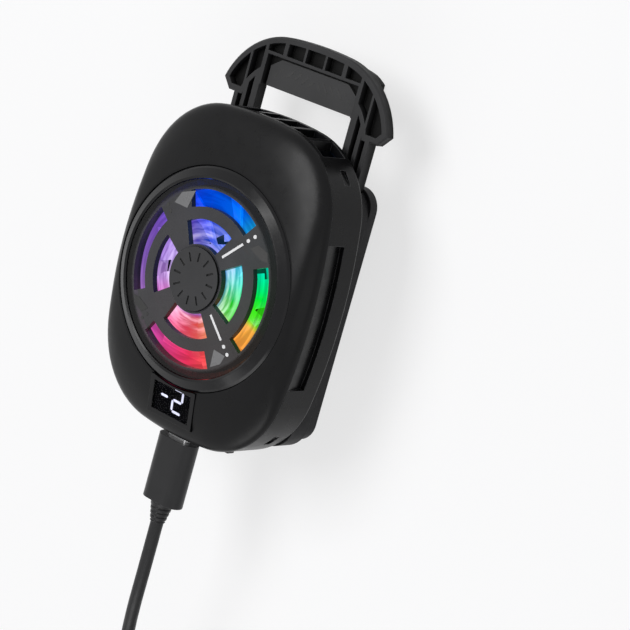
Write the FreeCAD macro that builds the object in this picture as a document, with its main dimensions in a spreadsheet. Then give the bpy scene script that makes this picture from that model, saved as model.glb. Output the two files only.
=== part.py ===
import FreeCAD, Part
import math
import os
import re
import Sketcher

# Phone cooling fan, clamped as on a phone 77.6 mm wide. Millimetres.
# Frame: Z = 0 is the face that touches the phone's back, the Z axis is the fan's axis,
# +Z looks out of the fan, +Y points to the sliding jaw. The part lies on its two jaw lips.

V = FreeCAD.Vector

# Driving dimensions: alias, value in mm or degrees, what it is
SIZES = [
    ("body_width", 58.8, "housing across X"),
    ("body_length", 77.4, "housing along Y"),
    ("body_shift", 0.5, "centre of the housing outline above the fan axis"),
    ("side_radius", 130, "large radius of the long sides"),
    ("end_radius", 86, "large radius of the two ends"),
    ("corner_radius", 20, "radius of the four corners"),
    ("wall", 2.0, "wall of the housing and the cover"),
    ("floor_thick", 1.4, "floor of the rear housing"),
    ("back_level", 9.0, "rear face of the rear housing"),
    ("split_level", 20.3, "joint between rear housing and front cover"),
    ("crown_level", 25.1, "front cover beside the bezel ring"),
    ("back_edge", 1.0, "rounding of the rear rim"),
    ("gap", 0.15, "clearance between fitted pieces"),
    ("bezel_width", 3.1, "bezel ring from its inner to its outer radius"),
    ("bezel_level", 26.5, "inner edge of the bezel ring"),
    ("deck_level", 23.8, "seat of the guard and the bezel ring"),
    ("ledge_width", 1.3, "width of the cover's ledge under the bezel ring"),
    ("ledge_thick", 1.4, "thickness of that ledge"),
    ("hub_radius", 7.3, "disc in the middle of the guard"),
    ("hub_level", 28.2, "front of the guard's disc"),
    ("guard_thick", 1.4, "thickness of the guard"),
    ("badge_thick", 0.7, "badge let into the guard's disc"),
    ("window_inner", 7.9, "inner windows of the guard, inner radius"),
    ("guard_rim", 2.4, "rim of the guard outside its windows"),
    ("window_width", 4.0, "outer windows along the radius"),
    ("guard_ring", 2.8, "ring between inner and outer windows"),
    ("window_span", 62, "angle of one window"),
    ("window_centre", -4.5, "middle of the first outer window"),
    ("window_twist", 6, "inner windows turned against the outer ones"),
    ("spoke_count", 4, "spokes of the guard"),
    ("duct_gap", 0.8, "clearance round the blade tips"),
    ("duct_wall", 1.5, "wall of the fan frame"),
    ("fan_radius", 20.6, "tips of the fan blades"),
    ("rotor_radius", 8.0, "hub of the fan"),
    ("rotor_wall", 0.8, "wall of the fan hub"),
    ("rotor_top", 22.4, "front of the fan hub"),
    ("rotor_bottom", 16.0, "rear edge of the fan hub"),
    ("blade_count", 9, "fan blades"),
    ("blade_thick", 0.9, "thickness of a blade"),
    ("blade_rise", 5.6, "height of a blade along the axis"),
    ("blade_chord", 8.6, "length of a blade at its tip, along the turn"),
    ("blade_sweep", 16, "forward sweep of the tip in degrees"),
    ("shaft_radius", 1.0, "fan shaft"),
    ("sleeve_wall", 1.2, "wall of the bearing sleeve"),
    ("tube_wall", 1.0, "wall of the bearing tube"),
    ("pole_count", 6, "poles of the stator"),
    ("strut_width", 3.0, "struts of the fan frame"),
    ("strut_thick", 1.3, "thickness of the struts and the motor seat"),
    ("board_thick", 0.6, "motor board"),
    ("led_count", 8, "lamps round the motor board"),
    ("fin_count", 12, "fins of the heat sink"),
    ("fin_thick", 1.0, "thickness of one fin"),
    ("fin_height", 3.0, "height of the fins"),
    ("sink_width", 41.0, "side of the heat sink"),
    ("sink_thick", 1.6, "plate of the heat sink"),
    ("cell_width", 23.0, "side of the thermoelectric cell"),
    ("cell_thick", 3.4, "thickness of the thermoelectric cell"),
    ("cold_width", 38.0, "side of the cold plate"),
    ("cold_thick", 2.3, "thickness of the cold plate"),
    ("skin_thick", 0.5, "silicone pad on the cold plate"),
    ("skin_width", 36.0, "side of the silicone pad"),
    ("base_width", 49.0, "clamp base across X"),
    ("base_top", 29.3, "clamp base, end towards the sliding jaw"),
    ("base_bottom", 34.0, "clamp base, end towards the fixed jaw"),
    ("cover_level", 1.2, "rear face of the rear cover"),
    ("leg_back", 3.8, "rear face of the slider"),
    ("leg_front", 6.65, "front face of the slider"),
    ("leg_inner", 14.3, "inner side of a leg from the middle"),
    ("leg_outer", 21.1, "outer side of a leg from the middle"),
    ("leg_edge", 1.75, "inner wall of a leg beside its grooves"),
    ("leg_side", 1.2, "outer wall of a leg beside its grooves"),
    ("leg_rib", 1.1, "rib between the two grooves of a leg"),
    ("leg_line", 0.85, "wall that goes on from a leg through the head"),
    ("leg_end", 12.6, "free end of the legs below the fan axis"),
    ("slide_gap", 0.1, "clearance of the legs in their channels"),
    ("spring_room", 31.0, "lower end of the channels"),
    ("spring_radius", 1.2, "outer radius of a return spring"),
    ("spring_wire", 0.4, "wire of a return spring"),
    ("spring_turns", 8, "turns of a return spring"),
    ("head_half", 26.3, "half width of the slider's head where its sides would stand upright"),
    ("head_top", 56.4, "top of the head above the fan axis"),
    ("head_arc", 95, "radius of the head's top edge"),
    ("head_corner", 19.4, "radius of the head's two shoulders"),
    ("head_side", 42.3, "lower end of the shoulders above the fan axis"),
    ("head_skirt", 39.75, "lower edge of the head above the fan axis"),
    ("head_heel", 23.2, "end of the lower edge from the middle"),
    ("head_bevel", 0.4, "bevel round the head's front edge"),
    ("band", 1.5, "rim of the head"),
    ("rib_outer", 9.05, "outer ribs above the rail, from the middle"),
    ("rib_inner", 3.05, "inner ribs above the rail, from the middle"),
    ("rib_wide", 1.15, "outer ribs across"),
    ("rib_thin", 0.6, "inner ribs and side ribs across"),
    ("rib_side", 18.8, "side ribs from the middle"),
    ("brace_radius", 13.4, "arched brace beside a leg, about the centre of the shoulder"),
    ("brace_wall", 1.15, "wall of the arched braces"),
    ("pocket_floor", 4.6, "floor of the pockets in the head"),
    ("rail_low", 50.9, "rail across the head, lower edge"),
    ("rail_high", 51.6, "rail across the head, upper edge"),
    ("plate_low", 43.5, "slider plate, lower edge"),
    ("plate_high", 50.4, "slider plate, upper edge"),
    ("plate_half", 13.2, "half width of the slider plate"),
    ("plate_corner", 3.0, "cut corners of the slider plate"),
    ("plate_face", 5.5, "front of the slider plate"),
    ("grip_upper", 47.3, "pad face of the sliding jaw above the fan axis"),
    ("grip_lower", 30.3, "pad face of the fixed jaw below the fan axis"),
    ("pad_thick", 2.0, "rubber pads of the jaws"),
    ("jaw_wall", 4.0, "wall of the jaws"),
    ("jaw_reach", 4.8, "reach of the jaw lips beyond the jaw walls"),
    ("jaw_open", 9.2, "lips behind the cold plate's face"),
    ("lip_thick", 2.3, "thickness of the jaw lips"),
    ("upper_jaw_width", 15.0, "sliding jaw across X"),
    ("jaw_bow", 2.4, "bow of the sliding jaw's outer face"),
    ("lower_jaw_width", 24.0, "fixed jaw across X"),
    ("port_level", 18.0, "middle of the charging port"),
    ("port_width", 9.0, "shell of the port across X"),
    ("port_height", 3.2, "shell of the port along Z"),
    ("port_depth", 7.0, "shell of the port along Y"),
    ("pcb_width", 23.0, "main board across X"),
    ("pcb_thick", 1.0, "thickness of the main board"),
    ("pcb_gap", 1.6, "main board clear of the fan frame"),
    ("pcb_edge", 35.0, "outer edge of the main board below the fan axis"),
    ("button_x", 10.2, "push button from the middle"),
    ("button_width", 4.6, "push button across X"),
    ("button_height", 2.2, "push button along Z"),
    ("button_travel", 0.4, "travel of the push button"),
    ("screen_width", 14.2, "frame of the display across X"),
    ("screen_length", 9.4, "frame of the display along its slope"),
    ("screen_thick", 2.4, "frame of the display, depth"),
    ("screen_border", 1.2, "border of the display frame"),
    ("screen_tilt", 10.3, "slope of the display in degrees"),
    ("screen_gap", 4.0, "middle of the display beyond the bezel ring"),
    ("screen_z", 24.45, "front of the display at its middle"),
    ("scoop_depth", 1.2, "deepest part of the side recesses"),
    ("scoop_level", 14.5, "step of the side recesses"),
    ("scoop_length", 34.0, "side recesses along Y"),
    ("vent_count", 7, "air outlets in the end wall"),
    ("vent_width", 4.6, "width of one air outlet"),
    ("vent_rib", 1.0, "rib between two air outlets"),
    ("post_side", 9.0, "screw posts in from the sides of the housing"),
    ("post_end", 11.3, "screw posts in from the ends of the housing"),
    ("notch_side", 6.1, "corner notches in from the sides of the housing"),
    ("notch_end", 7.1, "corner notches in from the ends of the housing"),
    ("post_radius", 2.1, "screw posts of the front cover"),
    ("screw_radius", 0.8, "shanks of the screws"),
    ("screw_head", 1.5, "radius of the screw heads"),
    ("head_thick", 0.9, "height of the screw heads"),
    ("screw_length", 9.0, "cover screws over all"),
    ("rear_screw_x", 22.8, "rear screws from the middle, X"),
    ("rear_screw_y", 24.0, "rear screws from the middle, Y"),
    ("plug_width", 11.0, "charging plug across X"),
    ("plug_thick", 5.8, "charging plug along Z"),
    ("plug_start", 39.2, "charging plug, end at the housing"),
    ("plug_length", 15.8, "length of the charging plug's grip"),
    ("relief_length", 5.2, "strain relief of the charging plug"),
    ("cord_radius", 1.6, "charging cord"),
    ("coil_mid", 19.2, "radius of the coil at the middle of its turns"),
    ("coil_turns", 2.75, "turns side by side in each layer of the coil"),
    ("coil_layers", 4, "layers of turns in the coil"),
    ("tie_width", 9.0, "strap round the coil"),
    ("tie_thick", 0.8, "thickness of that strap"),
]

doc = FreeCAD.newDocument("phone_cooler")
sheet = doc.addObject("Spreadsheet::Sheet", "Sizes")
for row, (alias, value, meaning) in enumerate(SIZES, 1):
    sheet.set("A%d" % row, meaning)
    sheet.set("B%d" % row, str(value))
    sheet.setAlias("B%d" % row, alias)
doc.recompute()

ALIASES = {alias for alias, value, meaning in SIZES}
# Sizes that follow from the driving ones
DERIVED = {
    "duct_radius": "(fan_radius + duct_gap)",
    "bezel_inner": "(fan_radius + duct_gap + duct_wall - 0.1)",
    "bezel_outer": "(fan_radius + duct_gap + duct_wall - 0.1 + bezel_width)",
    "window_outer": "(fan_radius + duct_gap + duct_wall - 0.1 - guard_rim)",
    "window_ring": "(fan_radius + duct_gap + duct_wall - 0.1 - guard_rim - window_width)",
    "window_mid": "(fan_radius + duct_gap + duct_wall - 0.1 - guard_rim - window_width - guard_ring)",
    "screen_y": "(fan_radius + duct_gap + duct_wall - 0.1 + bezel_width + screen_gap)",
    "post_x": "(body_width / 2 - post_side)",
    "post_y": "(body_length / 2 - post_end)",
}
NODES = {}


def bound(text):
    """Turn plain names of sizes into references to the sheet."""
    text = re.sub(r"[a-z_]+", lambda word: DERIVED.get(word.group(), word.group()), str(text))
    return re.sub(r"[a-z_]+", lambda word: "Sizes." * (word.group() in ALIASES) + word.group(), text)


def both_sides(width):
    """Range from minus half to plus half of a width."""
    return ("-(%s) / 2" % width, "(%s) / 2" % width)


probe = doc.addObject("Part::Feature", "probe")


def size(text):
    """Value of an expression in the names of the sheet."""
    return float(probe.evalExpression(bound(text)))


def keep(label, thing):
    """Register a finished sub-part under its node name."""
    thing.Label = label
    NODES[label] = thing
    return thing


def solid(label, shape):
    """A sub-part whose shape comes from Part's own functions."""
    thing = doc.addObject("Part::Feature", label)
    thing.Shape = shape
    return keep(label, thing)


# Part primitives and booleans bound to the sheet

def place(thing, x, y, z):
    thing.setExpression("Placement.Base.x", bound(x))
    thing.setExpression("Placement.Base.y", bound(y))
    thing.setExpression("Placement.Base.z", bound(z))


def block(name, x_range, y_range, z_range):
    thing = doc.addObject("Part::Box", name)
    for prop, (low, high) in zip(("Length", "Width", "Height"), (x_range, y_range, z_range)):
        thing.setExpression(prop, bound("(%s) - (%s)" % (high, low)))
    place(thing, x_range[0], y_range[0], z_range[0])
    return thing


def rod(name, centre, z_range, radius):
    thing = doc.addObject("Part::Cylinder", name)
    thing.setExpression("Radius", bound(radius))
    thing.setExpression("Height", bound("(%s) - (%s)" % (z_range[1], z_range[0])))
    place(thing, centre[0], centre[1], z_range[0])
    return thing


def joined(name, things):
    thing = doc.addObject("Part::MultiFuse", name)
    thing.Shapes = things
    return thing


def group(name, things):
    thing = doc.addObject("Part::Compound", name)
    thing.Links = things
    return thing


def minus(name, base, tool):
    thing = doc.addObject("Part::Cut", name)
    thing.Base = base
    thing.Tool = tool
    return thing


# PartDesign bodies bound to the sheet

def new_body(name):
    body = doc.addObject("PartDesign::Body", name)
    doc.recompute()
    return body


def sketch_on(body, name, plane="XY_Plane", level="0"):
    sketch = body.newObject("Sketcher::SketchObject", name)
    support = [item for item in body.Origin.OriginFeatures if item.Role == plane][0]
    sketch.AttachmentSupport = [(support, "")]
    sketch.MapMode = "FlatFace"
    sketch.setExpression("AttachmentOffset.Base.z", bound(level))
    return sketch


def fix_point(sketch, index, end, x, y):
    for kind, text in (("DistanceX", x), ("DistanceY", y)):
        number = sketch.addConstraint(Sketcher.Constraint(kind, -1, 1, index, end, size(text)))
        sketch.setExpression("Constraints[%d]" % number, bound(text))


def polygon(sketch, corners):
    """A closed outline whose corners are expressions of the sheet."""
    first = sketch.GeometryCount
    spots = [V(size(x), size(y), 0) for x, y in corners]
    count = len(corners)
    for i in range(count):
        sketch.addGeometry(Part.LineSegment(spots[i], spots[(i + 1) % count]), False)
    for i in range(count):
        sketch.addConstraint(Sketcher.Constraint("Coincident", first + i, 2, first + (i + 1) % count, 1))
    for i, (x, y) in enumerate(corners):
        fix_point(sketch, first + i, 1, x, y)


def rectangle(sketch, x_range, y_range):
    polygon(sketch, [(x_range[0], y_range[0]), (x_range[1], y_range[0]),
                     (x_range[1], y_range[1]), (x_range[0], y_range[1])])


def circle(sketch, x, y, radius):
    index = sketch.addGeometry(Part.Circle(V(size(x), size(y), 0), V(0, 0, 1), size(radius)), False)
    number = sketch.addConstraint(Sketcher.Constraint("Radius", index, size(radius)))
    sketch.setExpression("Constraints[%d]" % number, bound(radius))
    fix_point(sketch, index, 3, x, y)


def sector(sketch, radii, angles):
    """A piece of a ring between two radii and two angles in degrees."""
    first = sketch.GeometryCount
    start, stop = (math.radians(size(angle)) for angle in angles)
    for radius in radii:
        arc = Part.ArcOfCircle(Part.Circle(V(0, 0, 0), V(0, 0, 1), size(radius)), start, stop)
        sketch.addGeometry(arc, False)
    for angle in (start, stop):
        spots = [V(size(radius) * math.cos(angle), size(radius) * math.sin(angle), 0) for radius in radii]
        sketch.addGeometry(Part.LineSegment(*spots), False)
    for i, radius in enumerate(radii):
        sketch.addConstraint(Sketcher.Constraint("Coincident", first + i, 3, -1, 1))
        number = sketch.addConstraint(Sketcher.Constraint("Radius", first + i, size(radius)))
        sketch.setExpression("Constraints[%d]" % number, bound(radius))
        for end, angle in ((1, angles[0]), (2, angles[1])):
            line = first + 2 + end - 1
            sketch.addConstraint(Sketcher.Constraint("Coincident", line, i + 1, first + i, end))
            text = "(%s) * sin((%s) * 1 deg)" % (radius, angle)
            height = Sketcher.Constraint("DistanceY", -1, 1, first + i, end, size(text))
            number = sketch.addConstraint(height)
            sketch.setExpression("Constraints[%d]" % number, bound(text))


def pad(body, sketch, length, midplane=False, flip=False):
    doc.recompute()
    feature = body.newObject("PartDesign::Pad", sketch.Name + "_pad")
    feature.Profile = sketch
    feature.setExpression("Length", bound(length))
    feature.Midplane = midplane
    feature.Reversed = flip
    doc.recompute()
    return feature


def pocket(body, sketch, length=None, flip=False):
    """Cut a sketch to a depth, or right through where no depth is given."""
    doc.recompute()
    before = body.Shape.Volume
    feature = body.newObject("PartDesign::Pocket", sketch.Name + "_pocket")
    feature.Profile = sketch
    feature.Reversed = flip
    if length is None:
        feature.Type = "ThroughAll"
        feature.Midplane = True
    else:
        feature.setExpression("Length", bound(length))
    doc.recompute()
    if body.Shape.Volume > before - 1e-6:
        raise RuntimeError("%s cuts nothing" % feature.Name)
    return feature


def revolve(body, sketch):
    """Turn an outline drawn in the XZ plane about the Z axis."""
    doc.recompute()
    feature = body.newObject("PartDesign::Revolution", sketch.Name + "_turn")
    feature.Profile = sketch
    feature.ReferenceAxis = (sketch, ["V_Axis"])
    feature.Angle = 360
    doc.recompute()
    return feature


def polar(body, feature, sketch, count):
    pattern = body.newObject("PartDesign::PolarPattern", feature.Name + "_ring")
    pattern.Originals = [feature]
    pattern.Axis = (sketch, ["N_Axis"])
    pattern.Angle = 360
    pattern.setExpression("Occurrences", bound(count))
    body.Tip = pattern
    doc.recompute()
    return pattern


def upright_edges(shape):
    names = []
    for number, edge in enumerate(shape.Edges, 1):
        if isinstance(edge.Curve, Part.Line) and abs(edge.Curve.Direction.z) > 0.999:
            names.append("Edge%d" % number)
    return names


def soften(body, feature, edges, radius):
    fillet = body.newObject("PartDesign::Fillet", feature.Name + "_round")
    fillet.Base = (feature, edges)
    fillet.setExpression("Radius", bound(radius))
    doc.recompute()
    return fillet


# The housing's outline: four large arcs and four corner arcs, all tangent

def oval(inset=0.0, level=0.0, share=1.0):
    """Outline of the housing moved inwards; share 0 is the round opening, 1 the full outline."""
    ring = size("bezel_outer")

    def blend(full):
        return ring + (full - ring) * share - inset

    half_x = blend(size("body_width / 2"))
    half_y = blend(size("body_length / 2"))
    side, end, corner = (blend(size(name)) for name in ("side_radius", "end_radius", "corner_radius"))
    side_c = V(half_x - side, 0, 0)
    end_c = V(0, half_y - end, 0)
    reach_s, reach_e = side - corner, end - corner
    line = end_c - side_c
    along = (reach_s ** 2 - reach_e ** 2 + line.Length ** 2) / (2 * line.Length)
    aside = math.sqrt(reach_s ** 2 - along ** 2)
    unit = line.normalize()
    across = V(-unit.y, unit.x, 0) * aside
    crossings = (side_c + unit * along + across, side_c + unit * along - across)
    corner_c = max(crossings, key=lambda spot: spot.x)
    side_a = math.atan2(corner_c.y - side_c.y, corner_c.x - side_c.x)
    end_a = math.atan2(corner_c.y - end_c.y, corner_c.x - end_c.x)
    shift = V(0, size("body_shift") * share, level)
    quarter = [(side_c, side, 0.0, side_a), (corner_c, corner, side_a, end_a),
               (end_c, end, end_a, math.pi / 2)]
    edges = []
    for sx, sy, turn in ((1, 1, 1), (-1, 1, -1), (-1, -1, 1), (1, -1, -1)):
        arcs = []
        for centre, radius, first, last in quarter:
            points = []
            for angle in (first, (first + last) / 2, last):
                spot = centre + V(math.cos(angle), math.sin(angle), 0) * radius
                points.append(V(spot.x * sx, spot.y * sy, 0) + shift)
            arcs.append(points if turn == 1 else points[::-1])
        edges += [Part.Arc(*points).toShape() for points in (arcs if turn == 1 else arcs[::-1])]
    return Part.Wire(edges)


def prism(inset, low, high):
    return Part.Face(oval(inset, low)).extrude(V(0, 0, high - low))


def crown(inset, drop):
    """The front cover's crowned form: outlines that close in on the round opening."""
    low, high = size("split_level"), size("crown_level") - drop
    wires = []
    for step in range(7):
        angle = math.radians(15 * step)
        share = max(math.cos(angle) ** 1.54, 0.04)
        wires.append(oval(inset * share, low + (high - low) * math.sin(angle), share))
    return Part.makeLoft(wires, True, False)


def cylinder(radius, low, high, x=0.0, y=0.0):
    return Part.makeCylinder(radius, high - low, V(x, y, low))


def cuboid(x_range, y_range, z_range):
    spans = [high - low for low, high in (x_range, y_range, z_range)]
    return Part.makeBox(*spans, V(x_range[0], y_range[0], z_range[0]))


def screen_placement():
    turn = FreeCAD.Rotation(V(1, 0, 0), size("screen_tilt"))
    return FreeCAD.Placement(V(0, -size("screen_y"), size("screen_z")), turn)


POST_SIGNS = [(1, 1), (-1, 1), (-1, -1), (1, -1)]


def front_cover():
    split, deck = size("split_level"), size("deck_level")
    shell = crown(0, 0)
    envelope = shell.fuse(prism(0, size("back_level"), split))
    cover = shell.cut(crown(size("wall"), size("wall")))
    ring = size("bezel_outer")
    ledge = cylinder(ring + size("wall / 2"), deck - size("ledge_thick"), deck)
    cover = cover.cut(cylinder(ring, split, size("hub_level"))).fuse(ledge)
    cover = cover.cut(cylinder(ring - size("ledge_width"), split, size("hub_level")))
    opening = cuboid((-size("screen_width / 2 + gap"), size("screen_width / 2 + gap")),
                     (-size("screen_length / 2 + gap"), size("screen_length / 2 + gap")),
                     (-size("screen_thick + wall + 1"), size("screen_thick")))
    opening.Placement = screen_placement()
    cover = cover.cut(opening)
    posts = []
    for sx, sy in POST_SIGNS:
        x, y = sx * size("post_x"), sy * size("post_y") + size("body_shift")
        post = cylinder(size("post_radius"), size("back_level + floor_thick"), size("crown_level"), x, y)
        posts.append(post.common(envelope))
    cover = cover.fuse(posts)
    for sx, sy in POST_SIGNS:
        x, y = sx * size("post_x"), sy * size("post_y") + size("body_shift")
        cover = cover.cut(cylinder(size("screw_radius"), size("back_level"), split, x, y))
    solid("front_cover", cover.removeSplitter())


def side_scoops():
    """Wedge recesses of both long sides: deepest at their step, fading out at the cover."""
    low, high = size("scoop_level"), size("split_level")
    core = Part.makeLoft([oval(size("scoop_depth"), low), oval(0.02, high)], True, True)
    y_range = (size("body_shift - scoop_length / 2"), size("body_shift + scoop_length / 2"))
    shell = prism(-1, low, high).cut(core)
    bands = []
    for sign in (-1, 1):
        x_range = sorted((sign * size("body_width / 3"), sign * size("body_width")))
        bands.append(shell.common(cuboid(x_range, y_range, (low, high))))
    return bands


def rear_housing():
    back, split, thick = size("back_level"), size("split_level"), size("floor_thick")
    shape = prism(0, back, split)
    rim = [edge for edge in shape.Edges if edge.BoundBox.ZMax < back + 0.01]
    shape = shape.makeFillet(size("back_edge"), rim)
    shape = shape.cut(prism(size("wall"), back + thick, split + 1))
    half = size("sink_width / 2 + gap")
    shape = shape.cut(cuboid((-half, half), (-half, half), (back - 1, back + thick + 1)))
    shape = shape.cut(side_scoops())
    pitch = size("vent_width + vent_rib")
    first = -pitch * (size("vent_count") - 1) / 2
    end = size("body_length / 2")
    depth, heights = (end - 3 * size("wall") - 4, end + 2), (back + thick + 0.6, split - 1.3)
    for number in range(int(size("vent_count"))):
        x = first + number * pitch
        slot = (x - size("vent_width / 2"), x + size("vent_width / 2"))
        shape = shape.cut(cuboid(slot, depth, heights))
    port, level = size("port_height / 2 + gap"), size("port_level")
    spread = size("port_width / 2 + gap") - port
    hole = cuboid((-spread, spread), (-end - 1, -end + 6), (level - port, level + port))
    for sign in (-1, 1):
        hole = hole.fuse(Part.makeCylinder(port, 7, V(sign * spread, -end - 1, level), V(0, 1, 0)))
    shape = shape.cut(hole)
    middle = button_level()
    half_x, half_z = size("button_width / 2 + gap"), size("button_height / 2 + gap")
    centre = size("button_x")
    shape = shape.cut(cuboid((centre - half_x, centre + half_x), (-end - 1, -end + 5),
                             (middle - half_z, middle + half_z)))
    seat = size("port_level - port_height / 2 - pcb_thick")
    seat_x, seat_y = size("pcb_width / 3"), -size("pcb_edge") + 5.5
    for sign in (-1, 1):
        shape = shape.fuse(cylinder(1.8, back + thick, seat, sign * seat_x, seat_y))
        for side in (-1, 1):
            x, y = sign * size("rear_screw_x"), side * size("rear_screw_y")
            shape = shape.fuse(cylinder(1.5, back + thick, back + thick + 2.2, x, y))
            shape = shape.cut(cylinder(size("screw_radius"), back - 1, back + thick + 1.2, x, y))
            x, y = sign * size("post_x"), side * size("post_y") + size("body_shift")
            shape = shape.cut(cylinder(size("screw_radius"), back - 1, back + thick + 1, x, y))
            sink = cylinder(size("screw_head + gap"), back - 1, back + size("head_thick"), x, y)
            shape = shape.cut(sink)
    notch_x, notch_y = size("body_width / 2 - notch_side"), size("body_length / 2 - notch_end")
    for sx, sy in POST_SIGNS:
        notch = cuboid((-1.8, 1.8), (-0.9, 2), (-1.0, 1.0))
        turn = FreeCAD.Rotation(V(0, 0, 1), -42 * sx * sy if sy > 0 else 180 - 42 * sx * sy)
        spot = V(notch_x * sx, notch_y * sy + size("body_shift"), size("scoop_level") - 0.5)
        notch.Placement = FreeCAD.Placement(spot, turn)
        shape = shape.cut(notch)
    solid("rear_housing", shape.removeSplitter())


def button_level():
    """Middle of the push button: its switch hangs under the main board."""
    return size("port_level - port_height / 2 - pcb_thick - 1.4")


front_cover()
rear_housing()

# Bezel ring, guard and badge

bezel = new_body("bezel_ring")
outline = sketch_on(bezel, "bezel_outline", "XZ_Plane")
polygon(outline, [("bezel_inner", "deck_level"), ("bezel_outer - gap", "deck_level"),
                  ("bezel_outer - gap", "crown_level - 0.15"), ("bezel_outer - 0.7", "crown_level + 0.35"),
                  ("bezel_inner + 0.5", "bezel_level"), ("bezel_inner", "bezel_level - 0.3")])
revolve(bezel, outline)
keep("bezel_ring", bezel)

guard = new_body("fan_guard")
outline = sketch_on(guard, "guard_outline", "XZ_Plane")
SEAT_FACE = "hub_level - badge_thick"
polygon(outline, [("0", SEAT_FACE + " - guard_thick"), ("hub_radius", SEAT_FACE + " - guard_thick"),
                  ("window_outer", "deck_level + 0.9"), ("window_outer", "deck_level"),
                  ("bezel_inner - 0.1", "deck_level"), ("bezel_inner - 0.1", "bezel_level - 0.5"),
                  ("window_outer", "bezel_level - 0.4"), ("hub_radius + 0.4", SEAT_FACE + " + 0.1"),
                  ("hub_radius", SEAT_FACE), ("0", SEAT_FACE)])
revolve(guard, outline)
windows = sketch_on(guard, "guard_windows", level="deck_level")
for radii, middle in ((("window_ring", "window_outer"), "window_centre"),
                      (("window_inner", "window_mid"), "window_centre + window_twist")):
    sector(windows, radii, (middle + " - window_span / 2", middle + " + window_span / 2"))
polar(guard, pocket(guard, windows), windows, "spoke_count")
keep("fan_guard", guard)

badge = new_body("hub_badge")
outline = sketch_on(badge, "badge_outline", level=SEAT_FACE)
circle(outline, "0", "0", "hub_radius - 0.05")
pad(badge, outline, "badge_thick")
marks = sketch_on(badge, "badge_marks", level="hub_level")
rectangle(marks, ("hub_radius * 0.55", "hub_radius * 0.84"), ("-0.25", "0.25"))
polar(badge, pocket(badge, marks, "badge_thick / 3"), marks, "spoke_count * 3")
keep("hub_badge", badge)

AXIS = ("0", "0")

# Display in its slope

def on_slope(body):
    """Put a body drawn flat at the origin on the display's slope."""
    body.setExpression("Placement.Base.y", bound("-screen_y"))
    body.setExpression("Placement.Base.z", bound("screen_z"))
    body.Placement.Rotation = FreeCAD.Rotation(V(1, 0, 0), 1)
    body.setExpression("Placement.Rotation.Angle", bound("screen_tilt * 1 deg"))
    doc.recompute()


frame = new_body("display_frame_block")
outline = sketch_on(frame, "screen_outline", level="-screen_thick")
rectangle(outline, both_sides("screen_width"), both_sides("screen_length"))
pad(frame, outline, "screen_thick + 0.1")
INSIDE_X = both_sides("screen_width - 2 * screen_border")
INSIDE_Y = both_sides("screen_length - 2 * screen_border")
hole = sketch_on(frame, "screen_hole", level="0.1")
rectangle(hole, INSIDE_X, INSIDE_Y)
pocket(frame, hole)
on_slope(frame)
bore = rod("bezel_room", AXIS, ("split_level - 4", "hub_level"), "bezel_outer + gap")
keep("display_frame", minus("display_frame", frame, bore))

glass = new_body("display_window_block")
outline = sketch_on(glass, "glass_outline", level="-0.8")
rectangle(outline, INSIDE_X, INSIDE_Y)
pad(glass, outline, "0.8")
on_slope(glass)
bore = rod("bezel_room_window", AXIS, ("split_level - 4", "hub_level"), "bezel_outer + gap")
keep("display_window", minus("display_window", glass, bore))

digits = new_body("display_module")
outline = sketch_on(digits, "digits_outline", level="-0.8 - 1.7")
rectangle(outline, both_sides("screen_width - 2 * screen_border - 2 * gap"),
          ("-screen_length / 2 + screen_border + gap", "screen_length / 2 - screen_border - 1.4"))
pad(digits, outline, "1.7")
on_slope(digits)
keep("display_module", digits)

# Fan: frame, motor and impeller

SEAT = "back_level + sink_thick + fin_height"
SEAT_TOP = SEAT + " + strut_thick"
BORE = "shaft_radius + 0.05 + sleeve_wall"
TUBE = BORE + " + tube_wall"
frame_ring = rod("duct_outside", AXIS, (SEAT, "deck_level"), "duct_radius + duct_wall")
duct_bore = rod("duct_bore", AXIS, (SEAT + " - 1", "deck_level + 1"), "duct_radius")
duct = minus("duct_ring", frame_ring, duct_bore)
long, short = both_sides("2 * duct_radius + 1"), both_sides("strut_width")
struts = [block("strut_x", long, short, (SEAT, SEAT_TOP)), block("strut_y", short, long, (SEAT, SEAT_TOP))]
seat = rod("motor_seat", AXIS, (SEAT, SEAT_TOP), "rotor_radius + 2.6")
tube = rod("bearing_tube", AXIS, (SEAT_TOP, "rotor_top - 2.2"), TUBE)
sleeve_room = rod("sleeve_room", AXIS, (SEAT_TOP, "rotor_top"), BORE)
keep("fan_frame", minus("fan_frame", joined("frame_body", [duct, seat, tube] + struts), sleeve_room))

sleeve = rod("sleeve_outside", AXIS, (SEAT_TOP, "rotor_top - 2.2"), BORE)
sleeve_bore = rod("sleeve_bore", AXIS, (SEAT, "rotor_top"), "shaft_radius + 0.05")
keep("bearing_sleeve", minus("bearing_sleeve", sleeve, sleeve_bore))
shaft = rod("rotor_shaft", AXIS, (SEAT_TOP + " + 0.3", "rotor_top - 0.5"), "shaft_radius")
keep("rotor_shaft", shaft)

STATOR_LOW = SEAT_TOP + " + board_thick + 1.2"
STATOR_HIGH = "rotor_top - 3.2"
core = new_body("motor_stator")
outline = sketch_on(core, "core_outline", level=STATOR_LOW)
circle(outline, "0", "0", TUBE + " + 0.6")
circle(outline, "0", "0", TUBE)
pad(core, outline, STATOR_HIGH + " - (" + STATOR_LOW + ")")
pole = sketch_on(core, "pole_outline", level=STATOR_LOW)
POLE_ROOT, POLE_NECK, POLE_FACE = TUBE + " + 0.3", "rotor_radius - 3.0", "rotor_radius - 2.6"
polygon(pole, [(POLE_ROOT, "-0.45"), (POLE_NECK, "-0.45"), (POLE_NECK, "-1.7"), (POLE_FACE, "-1.5"),
               (POLE_FACE, "1.5"), (POLE_NECK, "1.7"), (POLE_NECK, "0.45"), (POLE_ROOT, "0.45")])
polar(core, pad(core, pole, STATOR_HIGH + " - (" + STATOR_LOW + ")"), pole, "pole_count")
keep("motor_stator", core)

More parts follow.
